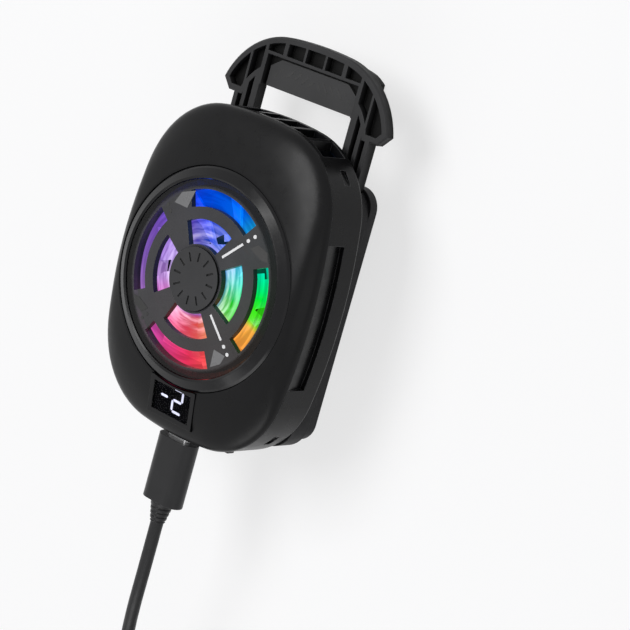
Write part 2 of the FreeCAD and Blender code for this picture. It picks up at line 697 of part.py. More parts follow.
magnet = rod("magnet_outside", AXIS, ("rotor_bottom + 0.3", "rotor_top - 1.8"), "rotor_radius - 1.3")
magnet_bore = rod("magnet_bore", AXIS, ("rotor_bottom", "rotor_top"), "rotor_radius - 2.1")
keep("rotor_magnet", minus("rotor_magnet", magnet, magnet_bore))
yoke = new_body("rotor_yoke")
outline = sketch_on(yoke, "yoke_outline", "XZ_Plane")
YOKE_OUT, YOKE_IN = "rotor_radius - rotor_wall", "rotor_radius - 1.3"
polygon(outline, [(YOKE_OUT, "rotor_bottom + 0.2"), (YOKE_OUT, "rotor_top - 1.2"),
                  ("shaft_radius", "rotor_top - 1.2"), ("shaft_radius", "rotor_top - 1.6"),
                  (YOKE_IN, "rotor_top - 1.6"), (YOKE_IN, "rotor_bottom + 0.2")])
revolve(yoke, outline)
keep("rotor_yoke", yoke)


def blade_section(radius, chord, rise, turn):
    """Curved blade section square to the radius, as a closed outline."""
    half = size("blade_thick") / 2
    line = [(-chord / 2, rise), (-chord / 6, rise * 0.52), (chord / 6, rise * 0.2), (chord / 2, 0.0)]
    low = size("rotor_top - 0.3") - size("blade_rise")
    spots = [(t, z + half) for t, z in line] + [(t, z - half * 0.6) for t, z in line[::-1]]
    angle = math.radians(turn)
    out = V(math.cos(angle), math.sin(angle), 0)
    along = V(-math.sin(angle), math.cos(angle), 0)
    points = [out * radius + along * t + V(0, 0, low + z) for t, z in spots]
    return Part.makePolygon(points + points[:1])


def impeller():
    top, bottom, radius = size("rotor_top"), size("rotor_bottom"), size("rotor_radius")
    hub = cylinder(radius, bottom, top).cut(cylinder(radius - size("rotor_wall"), bottom - 1, top - 1.2))
    hub = hub.cut(cylinder(size("shaft_radius"), bottom, top - 0.5))
    rise, chord, count = size("blade_rise"), size("blade_chord"), int(size("blade_count"))
    reach, sweep = size("fan_radius"), size("blade_sweep")
    blades = []
    for number in range(count):
        turn = 360.0 / count * number
        root = blade_section(radius - 0.35, chord * 0.55, rise - 0.5, turn)
        middle = blade_section((radius + reach) / 2, chord * 0.82, rise - 0.4, turn + sweep * 0.4)
        tip = blade_section(reach + 0.8, chord, rise - 0.5, turn + sweep)
        blades.append(Part.makeLoft([root, middle, tip], True, True))
    swept = cylinder(reach, bottom - 2, top + 2)
    swept = swept.cut(cylinder(radius - size("rotor_wall / 2"), bottom - 2, top + 2))
    blades = [blade.common(swept) for blade in blades]
    solid("fan_impeller", hub.fuse(blades).removeSplitter())


impeller()


def coils():
    """One winding round each pole."""
    low, high = size(STATOR_LOW), size(STATOR_HIGH)
    inner, outer = size(TUBE) + 0.8, size("rotor_radius") - 3.2
    count = int(size("pole_count"))
    things = []
    for number in range(count):
        coil = cuboid((inner, outer), (-0.95, 0.95), (low - 0.5, high + 0.5))
        coil = coil.cut(cuboid((inner - 1, outer + 1), (-0.5, 0.5), (low - 0.05, high + 0.05)))
        coil.rotate(V(0, 0, 0), V(0, 0, 1), 360.0 / count * number)
        things.append(coil)
    solid("stator_coils", Part.makeCompound(things))


coils()

board = rod("board_outside", AXIS, (SEAT_TOP, SEAT_TOP + " + board_thick"), "rotor_radius + 2.5")
board_bore = rod("board_bore", AXIS, (SEAT, "rotor_top"), TUBE)
keep("motor_board", minus("motor_board", board, board_bore))


def lamps():
    low = size(SEAT_TOP + " + board_thick")
    ring, count = size("rotor_radius") + 1.6, int(size("led_count"))
    things = []
    for number in range(count):
        lamp = cuboid((ring - 0.8, ring + 0.8), (-0.8, 0.8), (low, low + 0.6))
        lamp.rotate(V(0, 0, 0), V(0, 0, 1), 360.0 / count * (number + 0.5))
        things.append(lamp)
    solid("led_lamps", Part.makeCompound(things))


lamps()

# Cooling stack: heat sink, thermoelectric cell, cold plate and silicone pad

sink = new_body("heat_sink")
outline = sketch_on(sink, "sink_outline", level="back_level")
rectangle(outline, both_sides("sink_width"), both_sides("sink_width"))
pad(sink, outline, "sink_thick")
foot = sketch_on(sink, "sink_foot", level="skin_thick + cold_thick + cell_thick")
rectangle(foot, both_sides("cell_width"), both_sides("cell_width"))
pad(sink, foot, "back_level - skin_thick - cold_thick - cell_thick")
fin = sketch_on(sink, "sink_fin", level="back_level + sink_thick")
rectangle(fin, ("-sink_width / 2", "-sink_width / 2 + fin_thick"), both_sides("sink_width"))
first_fin = pad(sink, fin, "fin_height")
fins = sink.newObject("PartDesign::LinearPattern", "sink_fins")
fins.Originals = [first_fin]
fins.Direction = (fin, ["H_Axis"])
fins.setExpression("Length", bound("sink_width - fin_thick"))
fins.setExpression("Occurrences", bound("fin_count"))
sink.Tip = fins
doc.recompute()
keep("heat_sink", sink)

COLD_FACE = "skin_thick + cold_thick"
CELL_SIDES = both_sides("cell_width")
CELL_CORE = both_sides("cell_width - 1.6")
CELL_LEVELS = [COLD_FACE + text for text in ("", " + 0.7", " + cell_thick - 0.7", " + cell_thick")]
layers = []
for number, sides in enumerate((CELL_SIDES, CELL_CORE, CELL_SIDES)):
    layers.append(block("cell_layer_%d" % number, sides, sides, CELL_LEVELS[number:number + 2]))
keep("thermoelectric_cell", joined("thermoelectric_cell", layers))


def rounded_plate(name, width, levels, radius):
    body = new_body(name)
    outline = sketch_on(body, name + "_outline", level=levels[0])
    rectangle(outline, both_sides(width), both_sides(width))
    plate = pad(body, outline, "(%s) - (%s)" % (levels[1], levels[0]))
    soften(body, plate, upright_edges(plate.Shape), radius)
    return keep(name, body)


rounded_plate("cold_plate", "cold_width", ("skin_thick", COLD_FACE), "6")
rounded_plate("thermal_pad", "skin_width", ("0", "skin_thick"), "5")

# Clamp base and rear cover, which hold the slider's legs between them

CHANNEL_FRONT = "leg_front + slide_gap"
CHANNEL_BACK = "leg_back - slide_gap"
CHANNEL_X = ("leg_inner - slide_gap", "leg_outer + slide_gap")
CELL_WINDOW = both_sides("cell_width + 0.8")
SCREW_SPOTS = [(sx + "rear_screw_x", sy + "rear_screw_y") for sx in ("-", "") for sy in ("-", "")]
POST_SPOTS = [(sx + "post_x", sy + "post_y + body_shift") for sx in ("-", "") for sy in ("-", "")]
base = new_body("clamp_base")
outline = sketch_on(base, "base_outline", level=CHANNEL_BACK)
rectangle(outline, both_sides("base_width"), ("-base_bottom", "base_top"))
plate = pad(base, outline, "back_level - (" + CHANNEL_BACK + ")")
soften(base, plate, upright_edges(plate.Shape), "7")
room = sketch_on(base, "base_window", level="back_level")
rectangle(room, CELL_WINDOW, CELL_WINDOW)
pocket(base, room)
channel = sketch_on(base, "base_channels", level=CHANNEL_BACK)
mirrored_channel = ("-(%s)" % CHANNEL_X[1], "-(%s)" % CHANNEL_X[0])
for x_range in (mirrored_channel, CHANNEL_X):
    rectangle(channel, x_range, ("-spring_room", "base_top + 1"))
pocket(base, channel, CHANNEL_FRONT + " - (" + CHANNEL_BACK + ")", flip=True)
holes = sketch_on(base, "base_holes", level="back_level")
for x, y in SCREW_SPOTS:
    circle(holes, x, y, "screw_radius + 0.05")
pocket(base, holes)
keep("clamp_base", base)

rear = new_body("rear_cover")
outline = sketch_on(rear, "rear_outline", level="cover_level")
rectangle(outline, both_sides("base_width"), ("-spring_room - 1", "base_top"))
plate = pad(rear, outline, CHANNEL_BACK + " - cover_level")
soften(rear, plate, upright_edges(plate.Shape), "5")
room = sketch_on(rear, "rear_window", level="cover_level")
rectangle(room, CELL_WINDOW, CELL_WINDOW)
pocket(rear, room)
recess = sketch_on(rear, "rear_recess", level="cover_level")
rectangle(recess, both_sides("cold_width + 2 * gap"), both_sides("cold_width + 2 * gap"))
pocket(rear, recess, COLD_FACE + " - cover_level", flip=True)
holes = sketch_on(rear, "rear_holes", level="cover_level")
sinks = sketch_on(rear, "rear_sinks", level="cover_level")
for x, y in SCREW_SPOTS:
    circle(holes, x, y, "screw_radius + 0.05")
    circle(sinks, x, y, "screw_head + 0.1")
pocket(rear, holes)
pocket(rear, sinks, "head_thick", flip=True)
keep("rear_cover", rear)


def screw_set(name, spots, head_low, tip):
    """Pan-head screws that point along +Z."""
    screws = []
    for number, (x, y) in enumerate(spots, 1):
        tag = "%s_%d" % (name, number)
        head = rod(tag + "_head", (x, y), (head_low, "(%s) + head_thick" % head_low), "screw_head")
        shank = rod(tag + "_shank", (x, y), ("(%s) + head_thick" % head_low, tip), "screw_radius")
        screws.append(joined(tag, [head, shank]))
    keep(name, group(name, screws))


screw_set("rear_screws", SCREW_SPOTS, "cover_level", "back_level + floor_thick + 1.0")
screw_set("cover_screws", POST_SPOTS, "back_level", "back_level + screw_length")


lower = new_body("lower_jaw")
outline = sketch_on(lower, "lower_jaw_profile", "YZ_Plane")
WALL, OUTER = "-grip_lower - pad_thick", "-grip_lower - pad_thick - jaw_wall"
TIP, FOOT = WALL + " + jaw_reach", "-jaw_open - lip_thick"
polygon(outline, [(WALL, "-jaw_open + 0.4"), (TIP, "-jaw_open"), (TIP, FOOT), (OUTER + " + 1.6", FOOT),
                  (OUTER, FOOT + " + 2.0"), (OUTER, "back_level - 0.2"),
                  ("-base_bottom", "back_level - 0.2"), ("-base_bottom", CHANNEL_BACK),
                  (WALL, CHANNEL_BACK)])
pad(lower, outline, "lower_jaw_width", midplane=True)
keep("lower_jaw", lower)


def pad_strip(name, sign, width):
    body = new_body(name)
    outline = sketch_on(body, name + "_outline", "YZ_Plane")
    s = "" if sign > 0 else "-"
    grip = "grip_upper" if sign > 0 else "grip_lower"
    face, back = s + grip, s + "(%s + pad_thick)" % grip
    shoulder = s + "(%s + pad_thick - 0.8)" % grip
    polygon(outline, [(face, "-jaw_open + 0.6"), (back, "-jaw_open + 0.45"), (back, "cover_level - 0.1"),
                      (shoulder, "cover_level - 0.1"), (face, "cover_level - 1")])
    pad(body, outline, width, midplane=True)
    keep(name, body)


pad_strip("lower_jaw_pad", -1, "lower_jaw_width - 2")
pad_strip("upper_jaw_pad", 1, "upper_jaw_width - 2")


def shoulder_centre():
    """Centre of the head's right shoulder: its arc is tangent to the top arc."""
    x = size("head_half - head_corner")
    low = size("head_top - head_arc")
    return V(x, low + math.sqrt(size("head_arc - head_corner") ** 2 - x ** 2), 0)


def head_outline(inset):
    """Outline of the head: top arc, two shoulders, bevelled lower corners and a straight skirt."""
    centre = shoulder_centre()
    middle = V(0, size("head_top - head_arc"), 0)
    top_radius, radius = size("head_arc") - inset, size("head_corner") - inset
    side, skirt = size("head_side") + 0.25 * inset, size("head_skirt") + inset
    first = math.asin((side - centre.y) / radius)
    last = math.atan2(centre.y - middle.y, centre.x)
    shoulder = []
    for angle in (first, (first + last) / 2, last):
        shoulder.append(centre + V(math.cos(angle), math.sin(angle), 0) * radius)
    mirrored = [V(-spot.x, spot.y, 0) for spot in shoulder[::-1]]
    edges = [Part.Arc(*shoulder), Part.Arc(shoulder[2], middle + V(0, top_radius, 0), mirrored[0])]
    edges.append(Part.Arc(*mirrored))
    heel = size("head_heel") - 0.45 * inset
    spots = [mirrored[2], V(-heel, skirt, 0), V(heel, skirt, 0), shoulder[0]]
    edges += [Part.LineSegment(spots[i], spots[i + 1]) for i in range(3)]
    return Part.Wire([edge.toShape() for edge in edges])


def raised(wire, low, high):
    return Part.Face(wire).extrude(V(0, 0, high - low)).translated(V(0, 0, low))


def ribs(x_centres, width, y_range, z_range):
    return [cuboid((x - width / 2, x + width / 2), y_range, z_range) for x in x_centres]


def mirrored_box(sign, x_range, y_range, z_range):
    """A box on the right side, or its mirror image for sign -1."""
    return cuboid(sorted(sign * x for x in x_range), y_range, z_range)


def shoulder_disc(sign, radius, low, high):
    centre = shoulder_centre()
    return cylinder(radius, low, high, sign * centre.x, centre.y)


def head_pockets(low, high):
    """Pockets of the head: a row above the rail and one above each arched brace."""
    room = raised(head_outline(size("band")), low, high)
    heights, levels = (size("head_skirt"), size("head_top")), (low, high)
    leg, line = size("leg_inner"), size("leg_inner + leg_line")
    above = room.common(cuboid((-leg, leg), (size("rail_high"), heights[1]), levels))
    outer, inner = size("rib_outer"), size("rib_inner")
    posts = ribs((-outer, outer), size("rib_wide"), heights, levels)
    posts += ribs((-inner, inner), size("rib_thin"), heights, levels)
    pockets = [above.cut(posts)]
    for sign in (-1, 1):
        beside = room.common(mirrored_box(sign, (line, size("head_half")), heights, levels))
        brace = shoulder_disc(sign, size("brace_radius"), low, high)
        side_rib = ribs((sign * size("rib_side"),), size("rib_thin"), heights, levels)
        pockets.append(beside.cut([brace] + side_rib))
    return pockets


def leg_grooves(sign, low, high):
    """Two long grooves of a leg, which end below the skirt and inside the arched brace."""
    start, stop = size("leg_inner + leg_edge"), size("leg_outer - leg_side")
    width = (stop - start - size("leg_rib")) / 2
    half, foot, levels = size("head_half"), 3 - size("leg_end"), (low, high)
    under = shoulder_disc(sign, size("brace_radius - brace_wall"), low, high)
    room = under.fuse(cuboid((-half, half), (foot, size("head_skirt")), levels))
    grooves = []
    for x in (start, stop - width):
        groove = mirrored_box(sign, (x, x + width), (foot, size("head_top")), levels)
        grooves.append(groove.common(room))
    return grooves


def sliding_hook():
    """Wall and lip of the sliding jaw, with a bowed outer face."""
    wall, width = size("grip_upper + pad_thick"), size("upper_jaw_width")
    back, opening = size("leg_back"), -size("jaw_open")
    foot = opening - size("lip_thick")
    tip, outer = wall - size("jaw_reach"), wall + size("jaw_wall")
    heel = 0.8
    side = [V(0, wall, opening + 0.4), V(0, tip, opening), V(0, tip, foot), V(0, outer - heel, foot),
            V(0, outer, foot + heel), V(0, outer, back), V(0, wall, back)]
    hook = Part.Face(Part.makePolygon(side + side[:1])).extrude(V(width, 0, 0))
    corner_y = outer - size("jaw_bow")
    bow = Part.Arc(V(width / 2, corner_y, 0), V(0, outer, 0), V(-width / 2, corner_y, 0)).toShape()
    rest = Part.makePolygon([V(-width / 2, corner_y, 0), V(-width / 2, tip, 0), V(width / 2, tip, 0),
                             V(width / 2, corner_y, 0)])
    plan = raised(Part.Wire([bow] + rest.Edges), foot, back)
    return hook.translated(V(-width / 2, 0, 0)).common(plan)


def clamp_slider():
    back, front, floor = size("leg_back"), size("leg_front"), size("pocket_floor")
    leg_in, leg_out, end = size("leg_inner"), size("leg_outer"), size("leg_end")
    head = raised(head_outline(0), back, front)
    rims = [edge for edge in head.Edges if edge.BoundBox.ZLength < 0.01]
    head = head.makeChamfer(size("head_bevel"), rims)
    plate_low, levels = size("plate_low"), (back, front)
    shape = head.cut(cuboid((-leg_in, leg_in), (size("head_skirt") - 1, plate_low), levels))
    for sign in (-1, 1):
        shape = shape.fuse(mirrored_box(sign, (leg_in, leg_out), (-end, plate_low + 1), levels))
    shape = shape.cut(head_pockets(floor, front))
    for sign in (-1, 1):
        shape = shape.cut(leg_grooves(sign, floor, front))
    room = leg_in - 0.3
    shape = shape.cut(cuboid((-room, room), (plate_low, size("rail_low")), (floor, front)))
    solid("clamp_slider", shape.fuse(sliding_hook()).removeSplitter())


clamp_slider()

plate = new_body("slider_plate")
outline = sketch_on(plate, "plate_outline", level="pocket_floor")
CUT_START = "plate_high - plate_corner * 0.7"
polygon(outline, [("-plate_half", "plate_low + 0.1"), ("plate_half", "plate_low + 0.1"),
                  ("plate_half", CUT_START), ("plate_half - plate_corner", "plate_high"),
                  ("-plate_half + plate_corner", "plate_high"), ("-plate_half", CUT_START)])
pad(plate, outline, "plate_face - pocket_floor")
keep("slider_plate", plate)

# Return springs in the channels below the legs


def spring(name, sign):
    wire, radius = size("spring_wire"), size("spring_radius")
    length = size("spring_room - leg_end") - 0.2
    mean = radius - wire / 2
    helix = Part.makeHelix((length - wire * 1.2) / size("spring_turns"), length - wire * 1.2, mean)
    corners = [V(mean - wire / 2, 0, -wire / 2), V(mean + wire / 2, 0, -wire / 2),
               V(mean + wire / 2, 0, wire / 2), V(mean - wire / 2, 0, wire / 2)]
    profile = Part.makePolygon(corners + corners[:1])
    shape = Part.Wire(helix).makePipeShell([profile], True, True)
    turn = FreeCAD.Rotation(V(1, 0, 0), 90)
    middle = size("leg_back + leg_front") / 2
    x = sign * size("leg_inner + leg_outer") / 2
    shape.Placement = FreeCAD.Placement(V(x, -size("leg_end") - 0.1 - wire * 0.6, middle), turn)
    solid(name, shape)


spring("return_spring_left", -1)
spring("return_spring_right", 1)

# Main board with the port and the switch, and the push button

PCB_TOP = "port_level - port_height / 2"
PCB_LOW = PCB_TOP + " - pcb_thick"
PCB_END = "-duct_radius - duct_wall - pcb_gap"
keep("main_board", block("main_board", both_sides("pcb_width"), ("-pcb_edge", PCB_END), (PCB_LOW, PCB_TOP)))
PORT_FACE = "body_length / 2 - body_shift - 1.2"
port = new_body("charging_port")
outline = sketch_on(port, "port_outline", "XZ_Plane", PORT_FACE)
rectangle(outline, both_sides("port_width"), (PCB_TOP, "port_level + port_height / 2"))
shell = pad(port, outline, "port_depth", flip=True)
edges = [name for name, edge in (("Edge%d" % i, e) for i, e in enumerate(shell.Shape.Edges, 1))
         if isinstance(edge.Curve, Part.Line) and abs(edge.Curve.Direction.y) > 0.999]
soften(port, shell, edges, "port_height / 2 - 0.1")
mouth = sketch_on(port, "port_mouth", "XZ_Plane", PORT_FACE)
MOUTH_Z = (PCB_TOP + " + 0.35", "port_level + port_height / 2 - 0.35")
rectangle(mouth, both_sides("port_width - 1.8"), MOUTH_Z)
pocket(port, mouth, "port_depth - 0.8", flip=False)
keep("charging_port", port)

keep("tact_switch", block("tact_switch", ("button_x - 2", "button_x + 2"), ("-pcb_edge", "-pcb_edge + 3"),
                          (PCB_LOW + " - 2.6", PCB_LOW)))
BUTTON_LOW = PCB_LOW + " - 1.4 - button_height / 2"
cap = block("button_cap", ("button_x - button_width / 2", "button_x + button_width / 2"),
            ("-body_length / 2 + body_shift + 0.1", "-pcb_edge - button_travel"),
            (BUTTON_LOW, BUTTON_LOW + " + button_height"))
keep("mode_button", cap)

# Charging plug, cord, coil and the plug at its far end

CORD_EXIT = "-plug_start - plug_length - relief_length"


def stadium(name, width, thick, y_range, level):
    """A bar along Y with a flat top and bottom and round sides."""
    flat, heights = both_sides("%s - (%s)" % (width, thick)), ("%s - (%s) / 2", "%s + (%s) / 2")
    parts = [block(name + "_core", flat, y_range, [text % (level, thick) for text in heights])]
    for tag, sign in (("left", "-"), ("right", "")):
        side = doc.addObject("Part::Cylinder", "%s_%s" % (name, tag))
        side.setExpression("Radius", bound("(%s) / 2" % thick))
        side.setExpression("Height", bound("(%s) - (%s)" % (y_range[1], y_range[0])))
        side.Placement.Rotation = FreeCAD.Rotation(V(1, 0, 0), -90)
        place(side, "%s((%s) / 2 - (%s) / 2)" % (sign, width, thick), y_range[0], level)
        parts.append(side)
    return joined(name, parts)


keep("usb_c_plug_grip", stadium("usb_c_plug_grip", "plug_width", "plug_thick",
                                ("-plug_start - plug_length", "-plug_start"), "port_level"))
keep("usb_c_plug_shell", stadium("usb_c_plug_shell", "port_width - 2.2", "port_height - 1.0",
                                 ("-plug_start", "-plug_start + 6.0"), "port_level"))


def taper(label, start, stop, radii):
    """A round strain relief from one point to another along Y."""
    solid(label, Part.makeCone(radii[0], radii[1], (stop - start).Length, start, stop - start))


exit_y = size(CORD_EXIT)
level = size("port_level")
cord = size("cord_radius")
plug_end = V(0, exit_y + size("relief_length"), level)
taper("usb_c_strain_relief", plug_end, V(0, exit_y, level), (2.7, cord + 0.3))

TABLE = -size("jaw_open + lip_thick")
COIL_CENTRE = (15.2, -146.0)
coil_half = (size("coil_turns") + 1) * cord
coil_outer = size("coil_mid") + coil_half
coil_top = TABLE + 2 * cord * size("coil_layers")
entry_x = COIL_CENTRE[0] - coil_outer + cord
tail_x = COIL_CENTRE[0] + coil_outer - cord
ROUTE = [V(0, exit_y, level), V(0, -72, level), V(-1.9, -85, 15.9), V(-4.6, -98, 11.6),
         V(-6.8, -110.5, 6.3), V(-8.0, -123, 2.0), V(entry_x, -135, coil_top - cord + 0.2),
         V(entry_x, COIL_CENTRE[1], coil_top - cord)]
GRIP_WIDTH, GRIP_THICK, GRIP_LENGTH = 15.4, 7.6, 19.0
SHELL_WIDTH, SHELL_THICK, SHELL_LENGTH = 12.0, 4.5, 11.8
tail_level = TABLE + GRIP_THICK / 2
TAIL = [V(tail_x, COIL_CENTRE[1], tail_level), V(tail_x, COIL_CENTRE[1] + 17, tail_level)]


def tube(label, points, radius):
    """Straight runs joined by tangent arcs, as large as the runs allow."""
    edges = []
    start = points[0]
    for before, corner, after in zip(points, points[1:], points[2:]):
        back, ahead = before - corner, after - corner
        turn = math.pi - back.getAngle(ahead)
        reach = 0.45 * min(back.Length, ahead.Length)
        bend = reach / math.tan(turn / 2)
        print(label, "bend radius", round(bend, 1))
        first = corner + V(back).normalize() * reach
        last = corner + V(ahead).normalize() * reach
        inner = V(back).normalize() + V(ahead).normalize()
        middle = corner + inner.normalize() * (bend / math.cos(turn / 2) - bend)
        edges.append(Part.LineSegment(start, first).toShape())
        edges.append(Part.Arc(first, middle, last).toShape())
        start = last
    edges.append(Part.LineSegment(start, points[-1]).toShape())
    path = Part.Wire(edges)
    length = path.Length
    ring = Part.Wire(Part.Circle(points[0], points[1] - points[0], radius).toShape())
    shape = path.makePipeShell([ring], True, True)
    ratio = shape.Volume / (length * math.pi * radius ** 2)
    print(label, "length", round(length, 1), "volume ratio", round(ratio, 4))
    solid(label, shape)


tube("cord", ROUTE, cord)
tube("cord_tail", TAIL, cord)


def coil_ring(inner, outer, low, high, rounding):
    ring = cylinder(outer, low, high, *COIL_CENTRE).cut(cylinder(inner, low - 1, high + 1, *COIL_CENTRE))
    rims = [edge for edge in ring.Edges if isinstance(edge.Curve, Part.Circle)]
    return ring.makeFillet(rounding, rims)


coil_inner = size("coil_mid") - coil_half
strap, half = size("tie_thick"), size("tie_width / 2")
ring = coil_ring(coil_inner, coil_outer, TABLE, coil_top, cord * 0.9)
outside = cuboid((coil_inner - strap, coil_outer + strap), (-half, half), (TABLE, coil_top + strap))
inside = cuboid((coil_inner, coil_outer), (-half - 1, half + 1), (TABLE + strap, coil_top))
for thing in (outside, inside):
    thing.rotate(V(0, 0, 0), V(0, 0, 1), -60)
    thing.translate(V(*COIL_CENTRE, 0))
tie = outside.cut(inside)
solid("cord_tie", tie)
solid("cord_coil", ring.cut([tie, NODES["cord"].Shape, NODES["cord_tail"].Shape]))

# Plug at the far end
FAR_RELIEF = 9.0
tail_end = TAIL[-1]
taper("usb_a_strain_relief", tail_end, tail_end + V(0, FAR_RELIEF, 0), (cord + 0.3, 2.9))
grip_y = tail_end.y + FAR_RELIEF
shell_y = grip_y + GRIP_LENGTH


def far_block(width, y_range, z_range):
    return cuboid((tail_x - width / 2, tail_x + width / 2), y_range, z_range)


grip = far_block(GRIP_WIDTH, (grip_y, shell_y), (TABLE, TABLE + GRIP_THICK))
along = [edge for edge in grip.Edges if abs(edge.tangentAt(edge.FirstParameter).y) > 0.9]
solid("usb_a_plug_grip", grip.makeFillet(1.6, along))
low, high = tail_level - SHELL_THICK / 2, tail_level + SHELL_THICK / 2
shell = far_block(SHELL_WIDTH, (shell_y, shell_y + SHELL_LENGTH), (low, high))
hollow = far_block(SHELL_WIDTH - 0.6, (shell_y + 1.5, shell_y + SHELL_LENGTH + 1), (low + 0.3, high - 0.3))
tongue = far_block(10.6, (shell_y + 1, shell_y + SHELL_LENGTH - 1), (tail_level, high - 0.3))
solid("usb_a_plug_shell", shell.cut(hollow).fuse(tongue).removeSplitter())

doc.recompute()
problems = [thing.Name for thing in doc.Objects if {"Invalid", "Error"} & set(thing.State)]
for label, thing in NODES.items():
    if thing.Shape.isNull() or not thing.Shape.isValid():
        problems.append(label)
if problems:
    raise RuntimeError("failed objects: " + ", ".join(problems))
os.makedirs("parts", exist_ok=True)
for label, thing in NODES.items():
    thing.Shape.exportStep("parts/%s.step" % label)
    print("%-22s %9.1f mm3 %d solid(s)" % (label, thing.Shape.Volume, len(thing.Shape.Solids)))
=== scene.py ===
import math

import bmesh
import bpy
from mathutils import Matrix, Vector


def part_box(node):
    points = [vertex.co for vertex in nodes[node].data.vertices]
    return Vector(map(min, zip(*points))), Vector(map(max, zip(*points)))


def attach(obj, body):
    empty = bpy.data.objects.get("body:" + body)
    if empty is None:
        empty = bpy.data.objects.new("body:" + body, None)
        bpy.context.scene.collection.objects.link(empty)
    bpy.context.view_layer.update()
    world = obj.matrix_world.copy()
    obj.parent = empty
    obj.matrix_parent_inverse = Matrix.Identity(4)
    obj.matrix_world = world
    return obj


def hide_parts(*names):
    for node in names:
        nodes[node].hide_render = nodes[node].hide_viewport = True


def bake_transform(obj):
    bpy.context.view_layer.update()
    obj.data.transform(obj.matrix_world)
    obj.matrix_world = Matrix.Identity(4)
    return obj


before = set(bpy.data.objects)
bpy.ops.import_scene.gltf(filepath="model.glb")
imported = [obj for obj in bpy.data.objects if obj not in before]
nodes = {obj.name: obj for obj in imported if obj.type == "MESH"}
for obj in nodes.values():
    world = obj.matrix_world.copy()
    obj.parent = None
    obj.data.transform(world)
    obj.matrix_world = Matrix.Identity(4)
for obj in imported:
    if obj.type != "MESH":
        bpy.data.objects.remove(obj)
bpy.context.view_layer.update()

MM = 0.001
UP = Vector((0, 0, 1))


def mm(*values):
    """A point given in millimetres, in metres."""
    return Vector(values) * MM


# Camera: solved from the photograph

CAMERA_PLACE = mm(299.73, 99.87, 380.5)
CAMERA_RIGHT = Vector((0.7356, 0.2656, -0.6232))
CAMERA_UP = Vector((-0.33996, 0.94044, -0.00046))
LENS_MM = 119.86
SENSOR_MM = 36

camera = bpy.data.objects.new("camera", bpy.data.cameras.new("camera"))
bpy.context.scene.collection.objects.link(camera)
camera.data.lens = LENS_MM
camera.data.sensor_width = SENSOR_MM
camera.data.clip_start = 0.02
backward = CAMERA_RIGHT.cross(CAMERA_UP)
axes = Matrix((CAMERA_RIGHT.normalized(), CAMERA_UP.normalized(), backward.normalized()))
camera.matrix_world = Matrix.Translation(CAMERA_PLACE) @ axes.transposed().to_4x4()
bpy.context.scene.camera = camera


# Material helpers

class Graph:
    """The nodes of one material or of the world, with a short way to add each kind."""

    def __init__(self, owner):
        owner.use_nodes = True
        self.nodes, self.links = owner.node_tree.nodes, owner.node_tree.links
        self.nodes.clear()

    def add(self, kind):
        return self.nodes.new(kind)

    def link(self, source, target):
        self.links.new(source, target)

    def coords(self):
        return self.add("ShaderNodeTexCoord").outputs["Object"]

    def split(self, vector):
        node = self.add("ShaderNodeSeparateXYZ")
        self.link(vector, node.inputs[0])
        return node.outputs["X"], node.outputs["Y"], node.outputs["Z"]

    def math(self, operation, first, second=None):
        node = self.add("ShaderNodeMath")
        node.operation = operation
        for index, value in enumerate((first, second)):
            if value is None:
                continue
            if isinstance(value, (int, float)):
                node.inputs[index].default_value = value
            else:
                self.link(value, node.inputs[index])
        return node.outputs[0]

    def noise(self, vector, scale, detail=3.0):
        node = self.add("ShaderNodeTexNoise")
        node.inputs["Scale"].default_value = scale
        node.inputs["Detail"].default_value = detail
        self.link(vector, node.inputs["Vector"])
        return node.outputs["Fac"]

    def spread(self, value, low, high, start=0.3, stop=0.7):
        """From low to high as the value goes from start to stop."""
        node = self.add("ShaderNodeMapRange")
        node.inputs["From Min"].default_value = start
        node.inputs["From Max"].default_value = stop
        node.inputs["To Min"].default_value = low
        node.inputs["To Max"].default_value = high
        self.link(value, node.inputs["Value"])
        return node.outputs["Result"]

    def mix(self, factor, first, second):
        node = self.add("ShaderNodeMix")
        node.data_type = "RGBA"
        self.link(factor, node.inputs["Factor"])
        for socket, value in (("A", first), ("B", second)):
            target = [item for item in node.inputs if item.name == socket and item.type == "RGBA"][0]
            if isinstance(value, (tuple, list)):
                target.default_value = (*value, 1.0)
            else:
                self.link(value, target)
        return [item for item in node.outputs if item.type == "RGBA"][0]

    def blend_shaders(self, factor, first, second, output):
        node = self.add("ShaderNodeMixShader")
        self.link(factor, node.inputs[0])
        self.link(first.outputs[0], node.inputs[1])
        self.link(second.outputs[0], node.inputs[2])
        self.link(node.outputs[0], output.inputs["Surface"])


def new_material(name):
    material = bpy.data.materials.new(name)
    return material, Graph(material)


def plastic(name):
    """A material with one Principled shader: the material, its graph and the shader."""
    material, graph = new_material(name)
    output = graph.add("ShaderNodeOutputMaterial")
    shader = graph.add("ShaderNodeBsdfPrincipled")
    graph.link(shader.outputs[0], output.inputs["Surface"])
    return material, graph, shader


def shade(colour, factor):
    return tuple(min(1.0, channel * factor) for channel in colour)


# Noise scales, per metre: broad patches of tone, smudges, and specks in lit surfaces
PATCHES, SMUDGES, SPECKS = 90.0, 330.0, 900.0
BUMP_STRENGTH, LEAST_BUMP_MM = 0.6, 0.002
STRIPE_SCALE, STRIPE_WOBBLE, GRAIN_IN_STRIPES = 0.314, 0.15, 0.3
# The first black is painted shade in recesses and on lower sides; the second is the guard's own black rim.
PAINTED_SHADE_BLACK, RIM_BLACK = (0.001, 0.001, 0.001), (0.003, 0.003, 0.003)


def striped(graph, coords, speckle, axis, pitch):
    """The grain with ribs across the axis, one to each pitch in millimetres."""
    wave = graph.add("ShaderNodeTexWave")
    wave.bands_direction = axis
    wave.inputs["Scale"].default_value = STRIPE_SCALE / (pitch * MM)
    wave.inputs["Distortion"].default_value = STRIPE_WOBBLE
    graph.link(coords, wave.inputs["Vector"])
    return graph.math("ADD", graph.math("MULTIPLY", speckle, GRAIN_IN_STRIPES), wave.outputs["Fac"])


